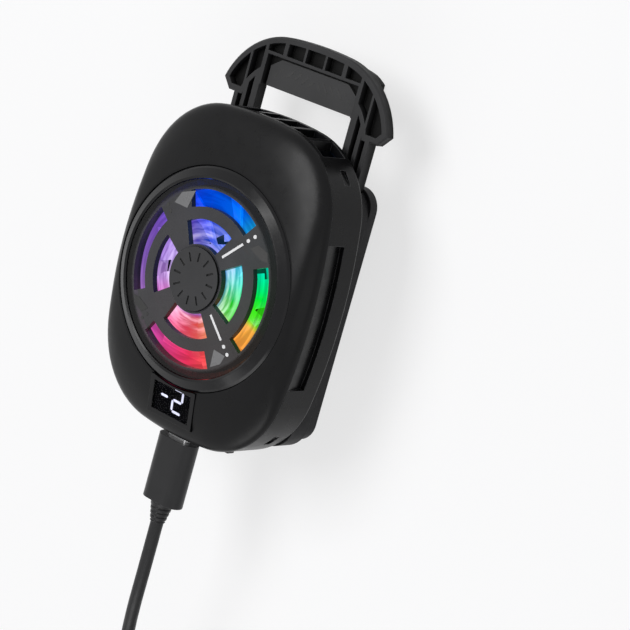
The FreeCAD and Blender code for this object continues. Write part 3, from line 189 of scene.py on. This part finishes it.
def worn_and_highlit_edges(graph, tone, rounded, dabs, edge_wear_and_highlight, edge_wear_and_highlight_tone):
    """The tone, paler where the rounded normal leaves the true one: edge wear, and partly a painted
    highlight.
    """
    true = graph.add("ShaderNodeNewGeometry")
    turn = graph.add("ShaderNodeVectorMath")
    turn.operation = "DOT_PRODUCT"
    graph.link(rounded, turn.inputs[0])
    graph.link(true.outputs["Normal"], turn.inputs[1])
    edge = graph.math("SUBTRACT", 1.0, turn.outputs["Value"])
    edge = graph.math("MULTIPLY", edge, graph.spread(dabs, 0.2, 1.4))
    edge = graph.math("MINIMUM", graph.math("MULTIPLY", edge, 2.5 * edge_wear_and_highlight), 1.0)
    return graph.mix(edge, tone, edge_wear_and_highlight_tone)


def add_painted_shade_below(graph, coords, tone, low, high):
    """The tone with painted shade: black below the lower of two levels in millimetres."""
    level = graph.split(coords)[2]
    return graph.mix(graph.spread(level, 1.0, 0.0, low * MM, high * MM), tone, PAINTED_SHADE_BLACK)


def darker_outside(graph, coords, tone, low, high):
    """The tone, black beyond the larger of two radii about the fan axis."""
    level = graph.add("ShaderNodeVectorMath")
    level.operation = "MULTIPLY"
    graph.link(coords, level.inputs[0])
    level.inputs[1].default_value = (1.0, 1.0, 0.0)
    radius = graph.add("ShaderNodeVectorMath")
    radius.operation = "LENGTH"
    graph.link(level.outputs["Vector"], radius.inputs[0])
    return graph.mix(graph.spread(radius.outputs["Value"], 0.0, 1.0, low * MM, high * MM), tone, RIM_BLACK)


def surface(name, colour, rough, metal=0.0, vary=0.12, smudge=0.06, grain=0.0, grain_size=0.15,
            round_edge=0.0, edge_wear_and_highlight=0.0, edge_wear_and_highlight_tone=(0.2, 0.2, 0.2), alpha=1.0, stripes=None,
            mirror=0.5, painted_shade_below=None, dark_outside=None):
    """A solid material with uneven colour, smudges, a moulded or brushed grain, and pale edges that are
    partly wear and partly a painted highlight.
    """
    material, graph, shader = plastic(name)
    coords = graph.coords()
    shader.inputs["Metallic"].default_value = metal
    shader.inputs["Alpha"].default_value = alpha
    shader.inputs["Specular IOR Level"].default_value = mirror
    patches = graph.noise(coords, PATCHES, 4.0)
    tone = graph.mix(graph.spread(patches, 0.0, 1.0), shade(colour, 1 - vary), shade(colour, 1 + vary))
    dabs = graph.noise(coords, SMUDGES, 5.0)
    gloss = graph.spread(dabs, max(0.03, rough - smudge), min(1.0, rough + smudge))
    bump = graph.add("ShaderNodeBump")
    bump.inputs["Strength"].default_value = BUMP_STRENGTH
    bump.inputs["Distance"].default_value = max(grain, LEAST_BUMP_MM) * MM
    speckle = graph.noise(coords, 1.0 / (grain_size * MM), 2.0)
    if stripes:
        speckle = striped(graph, coords, speckle, *stripes)
    graph.link(speckle, bump.inputs["Height"])
    if round_edge:
        bevel = graph.add("ShaderNodeBevel")
        bevel.samples = 6
        bevel.inputs["Radius"].default_value = round_edge * MM
        graph.link(bevel.outputs["Normal"], bump.inputs["Normal"])
        if edge_wear_and_highlight:
            tone = worn_and_highlit_edges(graph, tone, bevel.outputs["Normal"], dabs, edge_wear_and_highlight, edge_wear_and_highlight_tone)
    if painted_shade_below:
        tone = add_painted_shade_below(graph, coords, tone, *painted_shade_below)
    if dark_outside:
        tone = darker_outside(graph, coords, tone, *dark_outside)
    graph.link(tone, shader.inputs["Base Color"])
    graph.link(gloss, shader.inputs["Roughness"])
    graph.link(bump.outputs["Normal"], shader.inputs["Normal"])
    return material


# Colour round the fan axis: degrees from +X towards +Y, and the lamp's colour there
RAINBOW = [
    (-180, (0.34, 0.16, 0.70)), (-150, (0.55, 0.25, 0.80)), (-128, (0.80, 0.10, 0.60)),
    (-105, (0.90, 0.06, 0.30)), (-80, (0.95, 0.04, 0.12)), (-58, (0.95, 0.10, 0.08)),
    (-34, (0.95, 0.32, 0.04)), (-17, (0.95, 0.42, 0.06)), (-12, (0.08, 0.70, 0.01)),
    (5, (0.0, 0.72, 0.01)), (18, (0.0, 0.80, 0.30)), (28, (0.0, 0.82, 0.62)),
    (55, (0.01, 0.42, 0.92)), (66, (0.0, 0.16, 0.95)), (112, (0.0, 0.07, 0.95)),
    (128, (0.10, 0.08, 0.80)), (150, (0.28, 0.12, 0.75)), (180, (0.34, 0.16, 0.70)),
]
# The colours stand behind the guard's windows as the photograph shows them, seen along this slope
GUARD_LEVEL, SLOPE_X, SLOPE_Y = 26.8, 0.788, 0.262
# Behind the inner windows the colours run ahead of the outer ones by this angle
INNER_AHEAD = 14.0 / 360
# The pale streaks are painted highlights on the blades; near the hub the painted glow turns blue.
STREAKS_OUTWARD, STREAKS_ROUND = 900.0, 9.0
PALE_STREAK, HUB_BLUE = (0.88, 0.78, 1.0), (0.02, 0.04, 0.60)


def round_axis(graph, coords):
    """(turn, radius): the angle about the fan axis from 0 to 1, and the distance from it in metres."""
    x, y, z = graph.split(coords)
    depth = graph.math("SUBTRACT", GUARD_LEVEL * MM, z)
    across = graph.math("ADD", x, graph.math("MULTIPLY", depth, SLOPE_X))
    upward = graph.math("ADD", y, graph.math("MULTIPLY", depth, SLOPE_Y))
    turn = graph.spread(graph.math("ARCTAN2", upward, across), 0.0, 1.0, -math.pi, math.pi)
    square = graph.math("ADD", graph.math("POWER", across, 2.0), graph.math("POWER", upward, 2.0))
    return turn, graph.math("SQRT", square)


def glow(name, strength, rough):
    """Clear plastic glowing in the colours of the rainbow, with fine pale streaks round the axis painted
    as highlights; on parts that are no lamps the glow is painted light.
    """
    material, graph, shader = plastic(name)
    turn, radius = round_axis(graph, graph.coords())
    ramp = graph.add("ShaderNodeValToRGB")
    stops = ramp.color_ramp.elements
    for index, (angle, colour) in enumerate(RAINBOW):
        place = (angle + 180) / 360
        stop = stops[index] if index < 2 else stops.new(place)
        stop.position = place
        stop.color = (*colour, 1.0)
    ahead = graph.spread(radius, INNER_AHEAD, 0.0, 0.0140, 0.0160)
    graph.link(graph.math("ADD", turn, ahead), ramp.inputs["Fac"])
    streak = graph.add("ShaderNodeCombineXYZ")
    graph.link(graph.math("MULTIPLY", radius, STREAKS_OUTWARD), streak.inputs["X"])
    graph.link(graph.math("MULTIPLY", turn, STREAKS_ROUND), streak.inputs["Y"])
    lines = graph.spread(graph.noise(streak.outputs[0], 1.0), 0.0, 1.0)
    inner = graph.spread(radius, 0.7, 0.0, 0.0090, 0.0150)
    pale = graph.math("MINIMUM", graph.math("MULTIPLY", lines, inner), 0.6)
    colour = graph.mix(pale, ramp.outputs["Color"], PALE_STREAK)
    colour = graph.mix(graph.spread(radius, 0.85, 0.0, 0.0078, 0.0092), colour, HUB_BLUE)
    graph.link(colour, shader.inputs["Emission Color"])
    graph.link(graph.spread(lines, strength * 0.6, strength), shader.inputs["Emission Strength"])
    body_colour = graph.mix(graph.spread(lines, 0.9, 0.97), colour, (0.0, 0.0, 0.0))
    graph.link(body_colour, shader.inputs["Base Color"])
    shader.inputs["Roughness"].default_value = rough
    shader.inputs["Specular IOR Level"].default_value = 0.3
    return material


def lit(name, colour, strength):
    """A lit surface that is slightly uneven."""
    material, graph, shader = plastic(name)
    cloud = graph.noise(graph.coords(), SPECKS, 2.0)
    light = graph.mix(graph.spread(cloud, 0.0, 1.0), shade(colour, 0.9), colour)
    graph.link(light, shader.inputs["Emission Color"])
    graph.link(graph.spread(cloud, strength * 0.8, strength), shader.inputs["Emission Strength"])
    shader.inputs["Base Color"].default_value = (0.1, 0.1, 0.1, 1.0)
    shader.inputs["Roughness"].default_value = 0.4
    return material


def window_glass(name):
    """Faintly violet clear glass with a light smear, over the display."""
    material, graph = new_material(name)
    output = graph.add("ShaderNodeOutputMaterial")
    clear = graph.add("ShaderNodeBsdfTransparent")
    shine = graph.add("ShaderNodeBsdfPrincipled")
    shine.inputs["Base Color"].default_value = (0.01, 0.01, 0.012, 1.0)
    shine.inputs["Roughness"].default_value = 0.06
    clear.inputs["Color"].default_value = (0.80, 0.80, 0.85, 1.0)
    facing = graph.add("ShaderNodeFresnel")
    facing.inputs["IOR"].default_value = 1.5
    smear = graph.spread(graph.noise(graph.coords(), 400.0), 0.0, 0.02)
    graph.blend_shaders(graph.math("ADD", facing.outputs[0], smear), clear, shine, output)
    return material


def dress(material, *names):
    for name in names:
        mesh = nodes[name].data
        mesh.materials.clear()
        mesh.materials.append(material)


# Materials: plastics, rubber, metals, boards and prints

# The housing's strong pale edges are partly wear and partly a painted highlight where its edges catch
# light, such as the step of its side recess.
shell_black = surface("shell_black", (0.006, 0.006, 0.0065), 0.30, vary=0.10, smudge=0.05, grain=0.004,
                      grain_size=0.12, round_edge=0.25, edge_wear_and_highlight=0.9, edge_wear_and_highlight_tone=(0.16, 0.16, 0.165), mirror=0.13)
cover_black = surface("cover_black", (0.006, 0.006, 0.0065), 0.30, vary=0.10, smudge=0.04, grain=0.002,
                      grain_size=0.10, round_edge=0.2, edge_wear_and_highlight=0.15, edge_wear_and_highlight_tone=(0.06, 0.06, 0.065), mirror=0.14)
base_black = surface("base_black", (0.012, 0.012, 0.013), 0.5, smudge=0.07, grain=0.012,
                     grain_size=0.16, round_edge=0.2, edge_wear_and_highlight=0.3, edge_wear_and_highlight_tone=(0.06, 0.06, 0.06), mirror=0.15)
# From 6.5 mm down to 4.7 mm the slider fades to black: painted shade in its pockets and on its lower
# sides.
slider_grey = surface("slider_grey", (0.042, 0.042, 0.043), 0.50, vary=0.14, smudge=0.07, grain=0.010,
                      round_edge=0.22, edge_wear_and_highlight=0.5, edge_wear_and_highlight_tone=(0.11, 0.11, 0.115), mirror=0.13,
                      painted_shade_below=(4.7, 6.5))
plate_grey = surface("plate_grey", (0.058, 0.058, 0.059), 0.50, vary=0.10, grain=0.012, grain_size=0.14,
                     round_edge=0.2, edge_wear_and_highlight=0.5, edge_wear_and_highlight_tone=(0.12, 0.12, 0.125), mirror=0.13)
gloss_black = surface("gloss_black", (0.004, 0.004, 0.005), 0.20, vary=0.15, smudge=0.04, grain=0.001,
                      grain_size=0.4, round_edge=0.15, mirror=0.22)
smoke = surface("smoke", (0.055, 0.055, 0.057), 0.28, vary=0.15, smudge=0.05, grain=0.001, grain_size=0.3,
                round_edge=0.18, edge_wear_and_highlight=0.5, edge_wear_and_highlight_tone=(0.17, 0.17, 0.18), alpha=0.93, mirror=0.18,
                dark_outside=(20.5, 21.2))
# From 28.15 mm down to 27.9 mm the badge fades to black: painted shade on its sides.
badge_black = surface("badge_black", (0.040, 0.040, 0.042), 0.38, grain=0.003, grain_size=0.2,
                      round_edge=0.12, edge_wear_and_highlight=0.6, edge_wear_and_highlight_tone=(0.14, 0.14, 0.15), mirror=0.2,
                      painted_shade_below=(27.9, 28.15))
rubber = surface("rubber", (0.016, 0.016, 0.017), 0.72, vary=0.15, smudge=0.08, grain=0.03,
                 grain_size=0.12, round_edge=0.2, stripes=("Z", 1.1), mirror=0.25)
silicone = surface("silicone", (0.13, 0.135, 0.14), 0.62, vary=0.08, smudge=0.08, grain=0.01,
                   grain_size=0.2, stripes=("X", 0.9))
cord_black = surface("cord_black", (0.010, 0.010, 0.011), 0.42, smudge=0.07, grain=0.006,
                     grain_size=0.12, mirror=0.3)
plug_black = surface("plug_black", (0.010, 0.010, 0.011), 0.36, grain=0.005, grain_size=0.12,
                     round_edge=0.3, edge_wear_and_highlight=0.35, edge_wear_and_highlight_tone=(0.07, 0.07, 0.07), mirror=0.3)
steel = surface("steel", (0.60, 0.60, 0.61), 0.26, metal=1.0, vary=0.05, smudge=0.08, grain=0.003,
                grain_size=0.05, round_edge=0.08)
dark_steel = surface("dark_steel", (0.16, 0.16, 0.17), 0.34, metal=1.0, vary=0.08, smudge=0.08,
                     grain=0.004, grain_size=0.08, round_edge=0.08)
aluminium = surface("aluminium", (0.66, 0.67, 0.69), 0.42, metal=1.0, vary=0.05, smudge=0.08,
                    grain=0.006, grain_size=0.06, round_edge=0.1)
ferrite = surface("ferrite", (0.05, 0.05, 0.052), 0.55, metal=0.4, vary=0.2, grain=0.01, grain_size=0.1)
bronze = surface("bronze", (0.46, 0.29, 0.13), 0.36, metal=1.0, vary=0.1, grain=0.004, grain_size=0.07)
copper = surface("copper", (0.62, 0.26, 0.10), 0.3, metal=1.0, grain=0.02, grain_size=0.09,
                 stripes=("Z", 0.16))
ceramic = surface("ceramic", (0.72, 0.71, 0.67), 0.5, vary=0.06, grain=0.006, grain_size=0.08)
board_green = surface("board_green", (0.010, 0.085, 0.035), 0.32, vary=0.25, smudge=0.08, grain=0.01,
                      grain_size=0.35)
switch_black = surface("switch_black", (0.02, 0.02, 0.02), 0.4, grain=0.004, round_edge=0.15)
strap = surface("strap", (0.025, 0.025, 0.028), 0.85, vary=0.3, smudge=0.1, grain=0.06, grain_size=0.18)
white_print = surface("white_print", (0.86, 0.86, 0.87), 0.4, vary=0.04, grain=0.002)
dark_print = surface("dark_print", (0.008, 0.008, 0.008), 0.5, vary=0.2, grain=0.002)
pale_print = surface("pale_print", (0.17, 0.17, 0.175), 0.30, vary=0.14, smudge=0.08, grain=0.002)
digit_light = lit("digit_light", (0.80, 0.82, 1.0), 1.6)

dress(shell_black, "rear_housing")
dress(cover_black, "front_cover")
dress(base_black, "clamp_base", "rear_cover", "lower_jaw")
dress(slider_grey, "clamp_slider")
dress(plate_grey, "slider_plate")
dress(gloss_black, "bezel_ring", "display_frame", "display_module")
dress(window_glass("display_glass"), "display_window")
dress(smoke, "fan_guard")
dress(badge_black, "hub_badge")
# The impeller, fan frame and heat sink are no lamps: the lamps' coloured light on them is painted in as
# glow.
dress(glow("fan_glow", 1.15, 0.22), "fan_impeller")
dress(glow("frame_glow", 0.75, 0.4), "fan_frame")
dress(glow("sink_glow", 0.75, 0.35), "heat_sink")
dress(glow("lamp_glow", 1.1, 0.3), "led_lamps")
dress(steel, "rotor_shaft", "rear_screws", "return_spring_left", "return_spring_right",
      "usb_c_plug_shell", "usb_a_plug_shell")
dress(dark_steel, "rotor_yoke", "motor_stator", "cover_screws", "charging_port")
dress(ferrite, "rotor_magnet")
dress(bronze, "bearing_sleeve")
dress(copper, "stator_coils")
dress(board_green, "motor_board", "main_board")
dress(aluminium, "cold_plate")
dress(ceramic, "thermoelectric_cell")
dress(silicone, "thermal_pad")
dress(rubber, "upper_jaw_pad", "lower_jaw_pad")
dress(switch_black, "tact_switch", "mode_button")
dress(plug_black, "usb_c_plug_grip", "usb_a_plug_grip", "usb_a_strain_relief")
dress(strap, "cord_tie")


# Piece helpers

def piece(name, vertices, faces, material, body="body", smooth=False):
    mesh = bpy.data.meshes.new(name)
    mesh.from_pydata([tuple(v) for v in vertices], [], faces)
    mesh.materials.append(material)
    mesh.validate()
    thing = bpy.data.objects.new(name, mesh)
    bpy.context.scene.collection.objects.link(thing)
    if smooth:
        mesh.shade_smooth()
    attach(thing, body)
    return thing


def slab(outline, lift, thick):
    """Vertices and faces of a flat piece: outline points on a surface, lifted along it."""
    count = len(outline)
    top = [p + lift * thick for p in outline]
    faces = [list(range(count, 2 * count)), list(range(count - 1, -1, -1))]
    faces += [[i, (i + 1) % count, count + (i + 1) % count, count + i] for i in range(count)]
    return list(outline) + top, faces


def stripe(start, stop, half_width):
    """The four corners of a flat line from start to stop, seen from above."""
    side = (stop - start).normalized().cross(UP) * half_width * MM
    return [start + side, stop + side, stop - side, start - side]


def lathe(name, profile, start, along, material, steps=40):
    """A round piece: (distance along, radius) pairs turned about a line."""
    along = along.normalized()
    side = along.orthogonal().normalized()
    other = along.cross(side)
    vertices, faces = [], []
    for distance, radius in profile:
        for k in range(steps):
            angle = 2 * math.pi * k / steps
            outward = side * math.cos(angle) + other * math.sin(angle)
            vertices.append(start + along * distance + outward * radius)
    for i in range(len(profile) - 1):
        for k in range(steps):
            j = (k + 1) % steps
            faces.append([i * steps + k, i * steps + j, (i + 1) * steps + j, (i + 1) * steps + k])
    faces.append([k for k in range(steps)][::-1])
    faces.append([(len(profile) - 1) * steps + k for k in range(steps)])
    thing = piece(name, vertices, faces, material, smooth=True)
    mesh = bmesh.new()
    mesh.from_mesh(thing.data)
    bmesh.ops.recalc_face_normals(mesh, faces=mesh.faces)
    mesh.to_mesh(thing.data)
    mesh.free()
    thing.data.set_sharp_from_angle(angle=math.radians(40))
    return thing


# Display: minus and two, seven-segment bars under the glass

SCREEN_TILT = math.radians(10.3)
SCREEN_CENTRE = mm(0, -29.9, 24.45)
SCREEN_X = Vector((1, 0, 0))
SCREEN_Y = Vector((0, math.cos(SCREEN_TILT), math.sin(SCREEN_TILT)))
SCREEN_UP = SCREEN_X.cross(SCREEN_Y)
DIGIT_DEPTH, DIGIT_THICK = -0.78, 0.02
DIGIT_LEFT, DIGIT_WIDTH = -0.3, 3.0
BAR_WIDTH, BAR_GAP = 0.62, 0.12


def screen_point(x, y):
    """A point on the display, in millimetres from its middle, under the glass."""
    return SCREEN_CENTRE + (SCREEN_X * x + SCREEN_Y * y + SCREEN_UP * DIGIT_DEPTH) * MM


def bar(name, x0, y0, x1, y1):
    """One pointed segment from one corner of the figure to the next."""
    start, stop = Vector((x0, y0)), Vector((x1, y1))
    along = (stop - start).normalized()
    side = Vector((-along.y, along.x)) * BAR_WIDTH / 2
    start, stop = start + along * BAR_GAP, stop - along * BAR_GAP
    tip = along * BAR_WIDTH / 2
    outline = [start, start + tip - side, stop - tip - side, stop, stop - tip + side, start + tip + side]
    points = [screen_point(p.x, p.y) for p in outline]
    piece(name, *slab(points, SCREEN_UP, DIGIT_THICK * MM), digit_light)


left, right = DIGIT_LEFT, DIGIT_LEFT + DIGIT_WIDTH
top, middle, bottom = 3.2, 0.35, -2.5
FIGURE_TWO = [(left, top, right, top), (right, top, right, middle), (left, middle, right, middle),
              (left, middle, left, bottom), (left, bottom, right, bottom)]
for number, ends in enumerate(FIGURE_TWO, 1):
    bar("digit_two_%d" % number, *ends)
bar("digit_minus", -4.3, middle, -1.7, middle)


# Prints on the guard's spokes: lines, dots and facets on its shallow cone

GUARD_TOP, GUARD_SLOPE, GUARD_START = 27.6, -1.5 / 12.7, 7.7
LINE_INNER, LINE_OUTER, LINE_HALF, LINE_RISE = 9.3, 15.5, 0.29, 0.03
PRINT_THICK, FACET_THICK = 0.05, 0.06
DOT_SIDES = 20


def guard_point(radius, angle, shift=0.0):
    """A point on the guard at a radius, at an angle in degrees, shifted sideways."""
    turn = math.radians(angle)
    out, side = Vector((math.cos(turn), math.sin(turn), 0)), Vector((-math.sin(turn), math.cos(turn), 0))
    place = out * radius + side * shift
    height = GUARD_TOP + (place.length - GUARD_START) * GUARD_SLOPE
    return mm(place.x, place.y, height)


def guard_dot(name, angle, radius, size, material):
    edge = []
    for k in range(DOT_SIDES):
        turn = 2 * math.pi * k / DOT_SIDES
        edge.append(guard_point(radius + size * math.cos(turn), angle, size * math.sin(turn)))
    piece(name, *slab(edge, UP, PRINT_THICK * MM), material)


def guard_facet(name, corners, material):
    """A flat facet on a spoke: its corners in millimetres from the fan axis."""
    edge = [guard_point(math.hypot(x, y), math.degrees(math.atan2(y, x))) for x, y in corners]
    piece(name, *slab(edge, UP, FACET_THICK * MM), material)


# Each printed line leans a little against its spoke: angle at its inner end, angle at its outer end
for tag, first, last in (("a", 50.3, 49.0), ("b", -40.5, -43.3)):
    start, stop = guard_point(LINE_INNER, first), guard_point(LINE_OUTER, last)
    side = (stop - start).cross(UP).normalized() * LINE_HALF * MM
    rise = UP * LINE_RISE * MM
    corners = [start + side + rise, stop + side + rise, stop - side + rise, start - side + rise]
    piece("spoke_line_%s" % tag, *slab(corners, UP, PRINT_THICK * MM), white_print)
    guard_dot("spoke_dot_%s1" % tag, last - 0.2, 17.05, 0.45, white_print)
    guard_dot("spoke_dot_%s2" % tag, last - 0.5, 19.0, 0.45, white_print)
for tag, angle in (("c", 138.3), ("d", -133.6)):
    guard_dot("spoke_dot_%s1" % tag, angle, 17.7, 0.42, dark_print)
    guard_dot("spoke_dot_%s2" % tag, angle, 19.6, 0.42, dark_print)
DARK_FACET = [(12.3, 11.4), (16.0, 9.9), (17.9, 9.9), (17.0, 12.0), (14.2, 12.9)]
guard_facet("spoke_facet_a", DARK_FACET, dark_print)
guard_facet("spoke_facet_b", [(-12.9, 14.1), (-8.5, 14.1), (-7.7, 18.5), (-11.6, 16.9)], pale_print)
guard_facet("spoke_facet_c", [(-x, -y) for x, y in DARK_FACET], dark_print)
guard_facet("spoke_facet_d", [(9.9, -13.3), (13.2, -13.7), (12.4, -15.9), (9.8, -17.6)], pale_print)


# Engraved strokes and dots on the slider's plate

PLATE_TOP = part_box("slider_plate")[1][2] / MM
STROKE_HALF, STROKE_THICK = 0.26, 0.03
STROKES = [(-7.6, 47.0, -5.8, 48.9), (-5.4, 46.9, -3.6, 48.8), (-3.1, 46.7, -1.5, 48.5),
           (-1.1, 46.4, 0.4, 48.1), (1.4, 48.2, 2.8, 46.6), (3.3, 48.3, 4.9, 46.5),
           (5.3, 48.4, 7.0, 46.5), (7.5, 48.4, 9.4, 46.4)]
DOT_RADIUS, DOT_STEP = 0.34, math.pi / 8
DOTS = [(-11.0, 46.5), (-9.6, 48.0), (-8.3, 46.8), (10.2, 47.9), (11.5, 46.6)]
for number, (x0, y0, x1, y1) in enumerate(STROKES, 1):
    corners = stripe(mm(x0, y0, PLATE_TOP), mm(x1, y1, PLATE_TOP), STROKE_HALF)
    piece("plate_stroke_%d" % number, *slab(corners, UP, STROKE_THICK * MM), dark_print, body="slider")
for number, (x, y) in enumerate(DOTS, 1):
    ring = [mm(x + DOT_RADIUS * math.cos(k * DOT_STEP), y + DOT_RADIUS * math.sin(k * DOT_STEP), PLATE_TOP)
            for k in range(16)]
    piece("plate_dot_%d" % number, *slab(ring, UP, STROKE_THICK * MM), dark_print, body="slider")


# Return springs between the base and the slider's legs: each copied in place into a mesh of its own, and
# its solid hidden

for side_name in ("left", "right"):
    solid = nodes["return_spring_%s" % side_name]
    spring = bpy.data.objects.new("spring_coil_%s" % side_name, solid.data.copy())
    bpy.context.scene.collection.objects.link(spring)
    spring.matrix_world = solid.matrix_world
    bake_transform(spring)
    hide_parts("return_spring_%s" % side_name)


# Charging cord: strain relief, free length, coil and far end

CORD_RADIUS, CORD_DIAMETER = 1.6, 3.2
TABLE = -11.5
COIL_CENTRE = (15.2, -146.0)
COIL_MID, COIL_TURNS, COIL_LAYERS = 19.2, 2.75, 4
STEP_TURN = 1.0 / 6
POINTS_PER_TURN = 18
coil_outer = COIL_MID + COIL_TURNS * CORD_RADIUS
coil_top = TABLE + CORD_DIAMETER * COIL_LAYERS - CORD_RADIUS
entry_x, tail_x = COIL_CENTRE[0] - coil_outer, COIL_CENTRE[0] + coil_outer
tail_level = TABLE + 3.8
route = [mm(0, -60.2, 18), mm(0, -72, 18), mm(-1.9, -85, 15.9), mm(-4.6, -98, 11.6), mm(-6.8, -110.5, 6.3),
         mm(-8.0, -123, 2.0), mm(entry_x, -135, coil_top + 0.2)]


def coil_point(turn):
    """Centre line of the coil: flat spirals, inwards and outwards by turns, each one cord lower."""
    per_layer = COIL_TURNS + STEP_TURN
    layer = min(int(turn / per_layer), COIL_LAYERS - 1)
    part = turn - layer * per_layer
    share = min(part / COIL_TURNS, 1.0)
    if layer % 2:
        share = 1.0 - share
    radius = coil_outer - share * COIL_TURNS * CORD_DIAMETER
    drop = max(0.0, part - COIL_TURNS) / STEP_TURN if layer < COIL_LAYERS - 1 else 0.0
    height = coil_top - (layer + drop) * CORD_DIAMETER
    angle = math.pi + 2 * math.pi * turn
    return mm(COIL_CENTRE[0] + radius * math.cos(angle), COIL_CENTRE[1] + radius * math.sin(angle), height)


total_turns = COIL_TURNS * COIL_LAYERS + STEP_TURN * (COIL_LAYERS - 1)
coil_steps = int(total_turns * POINTS_PER_TURN)
coil_points = [coil_point(total_turns * k / coil_steps) for k in range(coil_steps + 1)]
tail = [mm(tail_x, -141, TABLE + 1.9), mm(tail_x, -135, tail_level - 0.4), mm(tail_x, -129, tail_level)]
curve = bpy.data.curves.new("charging_cord", "CURVE")
curve.dimensions = "3D"
curve.bevel_depth = CORD_RADIUS * MM
curve.bevel_resolution = 5
curve.resolution_u = 6
curve.use_fill_caps = True
spline = curve.splines.new("NURBS")
line = route + coil_points + tail
spline.points.add(len(line) - 1)
for point, place in zip(spline.points, line):
    point.co = (*place, 1.0)
spline.order_u = 3
spline.use_endpoint_u = True
curve.materials.append(cord_black)
charging_cord = bpy.data.objects.new("charging_cord", curve)
bpy.context.scene.collection.objects.link(charging_cord)
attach(charging_cord, "body")
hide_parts("cord", "cord_coil", "cord_tail")

# The relief's rings: each a little thinner than the last, with a groove after it
RELIEF_START = mm(0, -55.0, 18)
RING_COUNT, RING_PITCH, RING_TAPER = 4, 1.1, 0.22
profile = [(0.0, 2.75), (0.35, 2.8)]
for ring in range(RING_COUNT):
    base, radius = 0.5 + ring * RING_PITCH, 2.72 - ring * RING_TAPER
    profile += [(base, radius), (base + 0.55, radius - 0.06),
                (base + 0.6, radius - 0.42), (base + 1.0, radius - 0.45)]
profile += [(5.0, 1.85), (5.2, 1.7)]
relief_profile = [(distance * MM, radius * MM) for distance, radius in profile]
relief = lathe("cord_relief", relief_profile, RELIEF_START, Vector((0, -1, 0)), plug_black)
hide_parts("usb_c_strain_relief")


# Floor, light and backdrop

FLOOR_SIZE, FLOOR_GAP, FLOOR_LIT = 4.0, 0.0001, 0.55


def shown(graph):
    """One for rays that show the backdrop: seen straight, mirrored or through glass."""
    ray = graph.add("ShaderNodeLightPath")
    mirrored = graph.math("MAXIMUM", ray.outputs["Is Camera Ray"], ray.outputs["Is Glossy Ray"])
    return graph.math("MAXIMUM", mirrored, ray.outputs["Is Transmission Ray"])


def softbox(name, place, target, width, height, power):
    light = bpy.data.lights.new(name, "AREA")
    light.shape = "RECTANGLE"
    light.size, light.size_y = width, height
    light.energy = power
    thing = bpy.data.objects.new(name, light)
    bpy.context.scene.collection.objects.link(thing)
    thing.location = place
    thing.rotation_euler = (Vector(target) - Vector(place)).to_track_quat("-Z", "Y").to_euler()


bpy.ops.mesh.primitive_plane_add(size=FLOOR_SIZE, location=(0, 0, TABLE * MM - FLOOR_GAP))
floor = bpy.context.object
floor.name = "floor"
floor_paint, graph = new_material("floor_paint")
output = graph.add("ShaderNodeOutputMaterial")
matt = graph.add("ShaderNodeBsdfDiffuse")
bright = graph.add("ShaderNodeEmission")
matt.inputs["Color"].default_value = (0.72, 0.72, 0.73, 1.0)
bright.inputs["Strength"].default_value = 1.25
graph.blend_shaders(graph.math("MULTIPLY", shown(graph), FLOOR_LIT), matt, bright, output)
floor.data.materials.append(floor_paint)

world = bpy.data.worlds.new("studio")
bpy.context.scene.world = world
graph = Graph(world)
output = graph.add("ShaderNodeOutputWorld")
seen = graph.add("ShaderNodeBackground")
around = graph.add("ShaderNodeBackground")
around.inputs["Color"].default_value = (0.95, 0.96, 1.0, 1.0)
around.inputs["Strength"].default_value = 0.20
seen.inputs["Strength"].default_value = 1.0
seen.inputs["Color"].default_value = (1.0, 1.0, 1.0, 1.0)
graph.blend_shaders(shown(graph), around, seen, output)

softbox("key_light", (-0.14, 0.28, 0.84), (0, 0, 0), 0.40, 0.55, 5.0)
softbox("side_light", (0.75, -0.10, 0.30), (0, 0, 0.01), 0.3, 0.6, 0.35)
softbox("low_light", (0.15, -0.60, 0.35), (0, 0, 0.01), 0.5, 0.3, 1.2)

bpy.context.scene.view_settings.view_transform = "Standard"
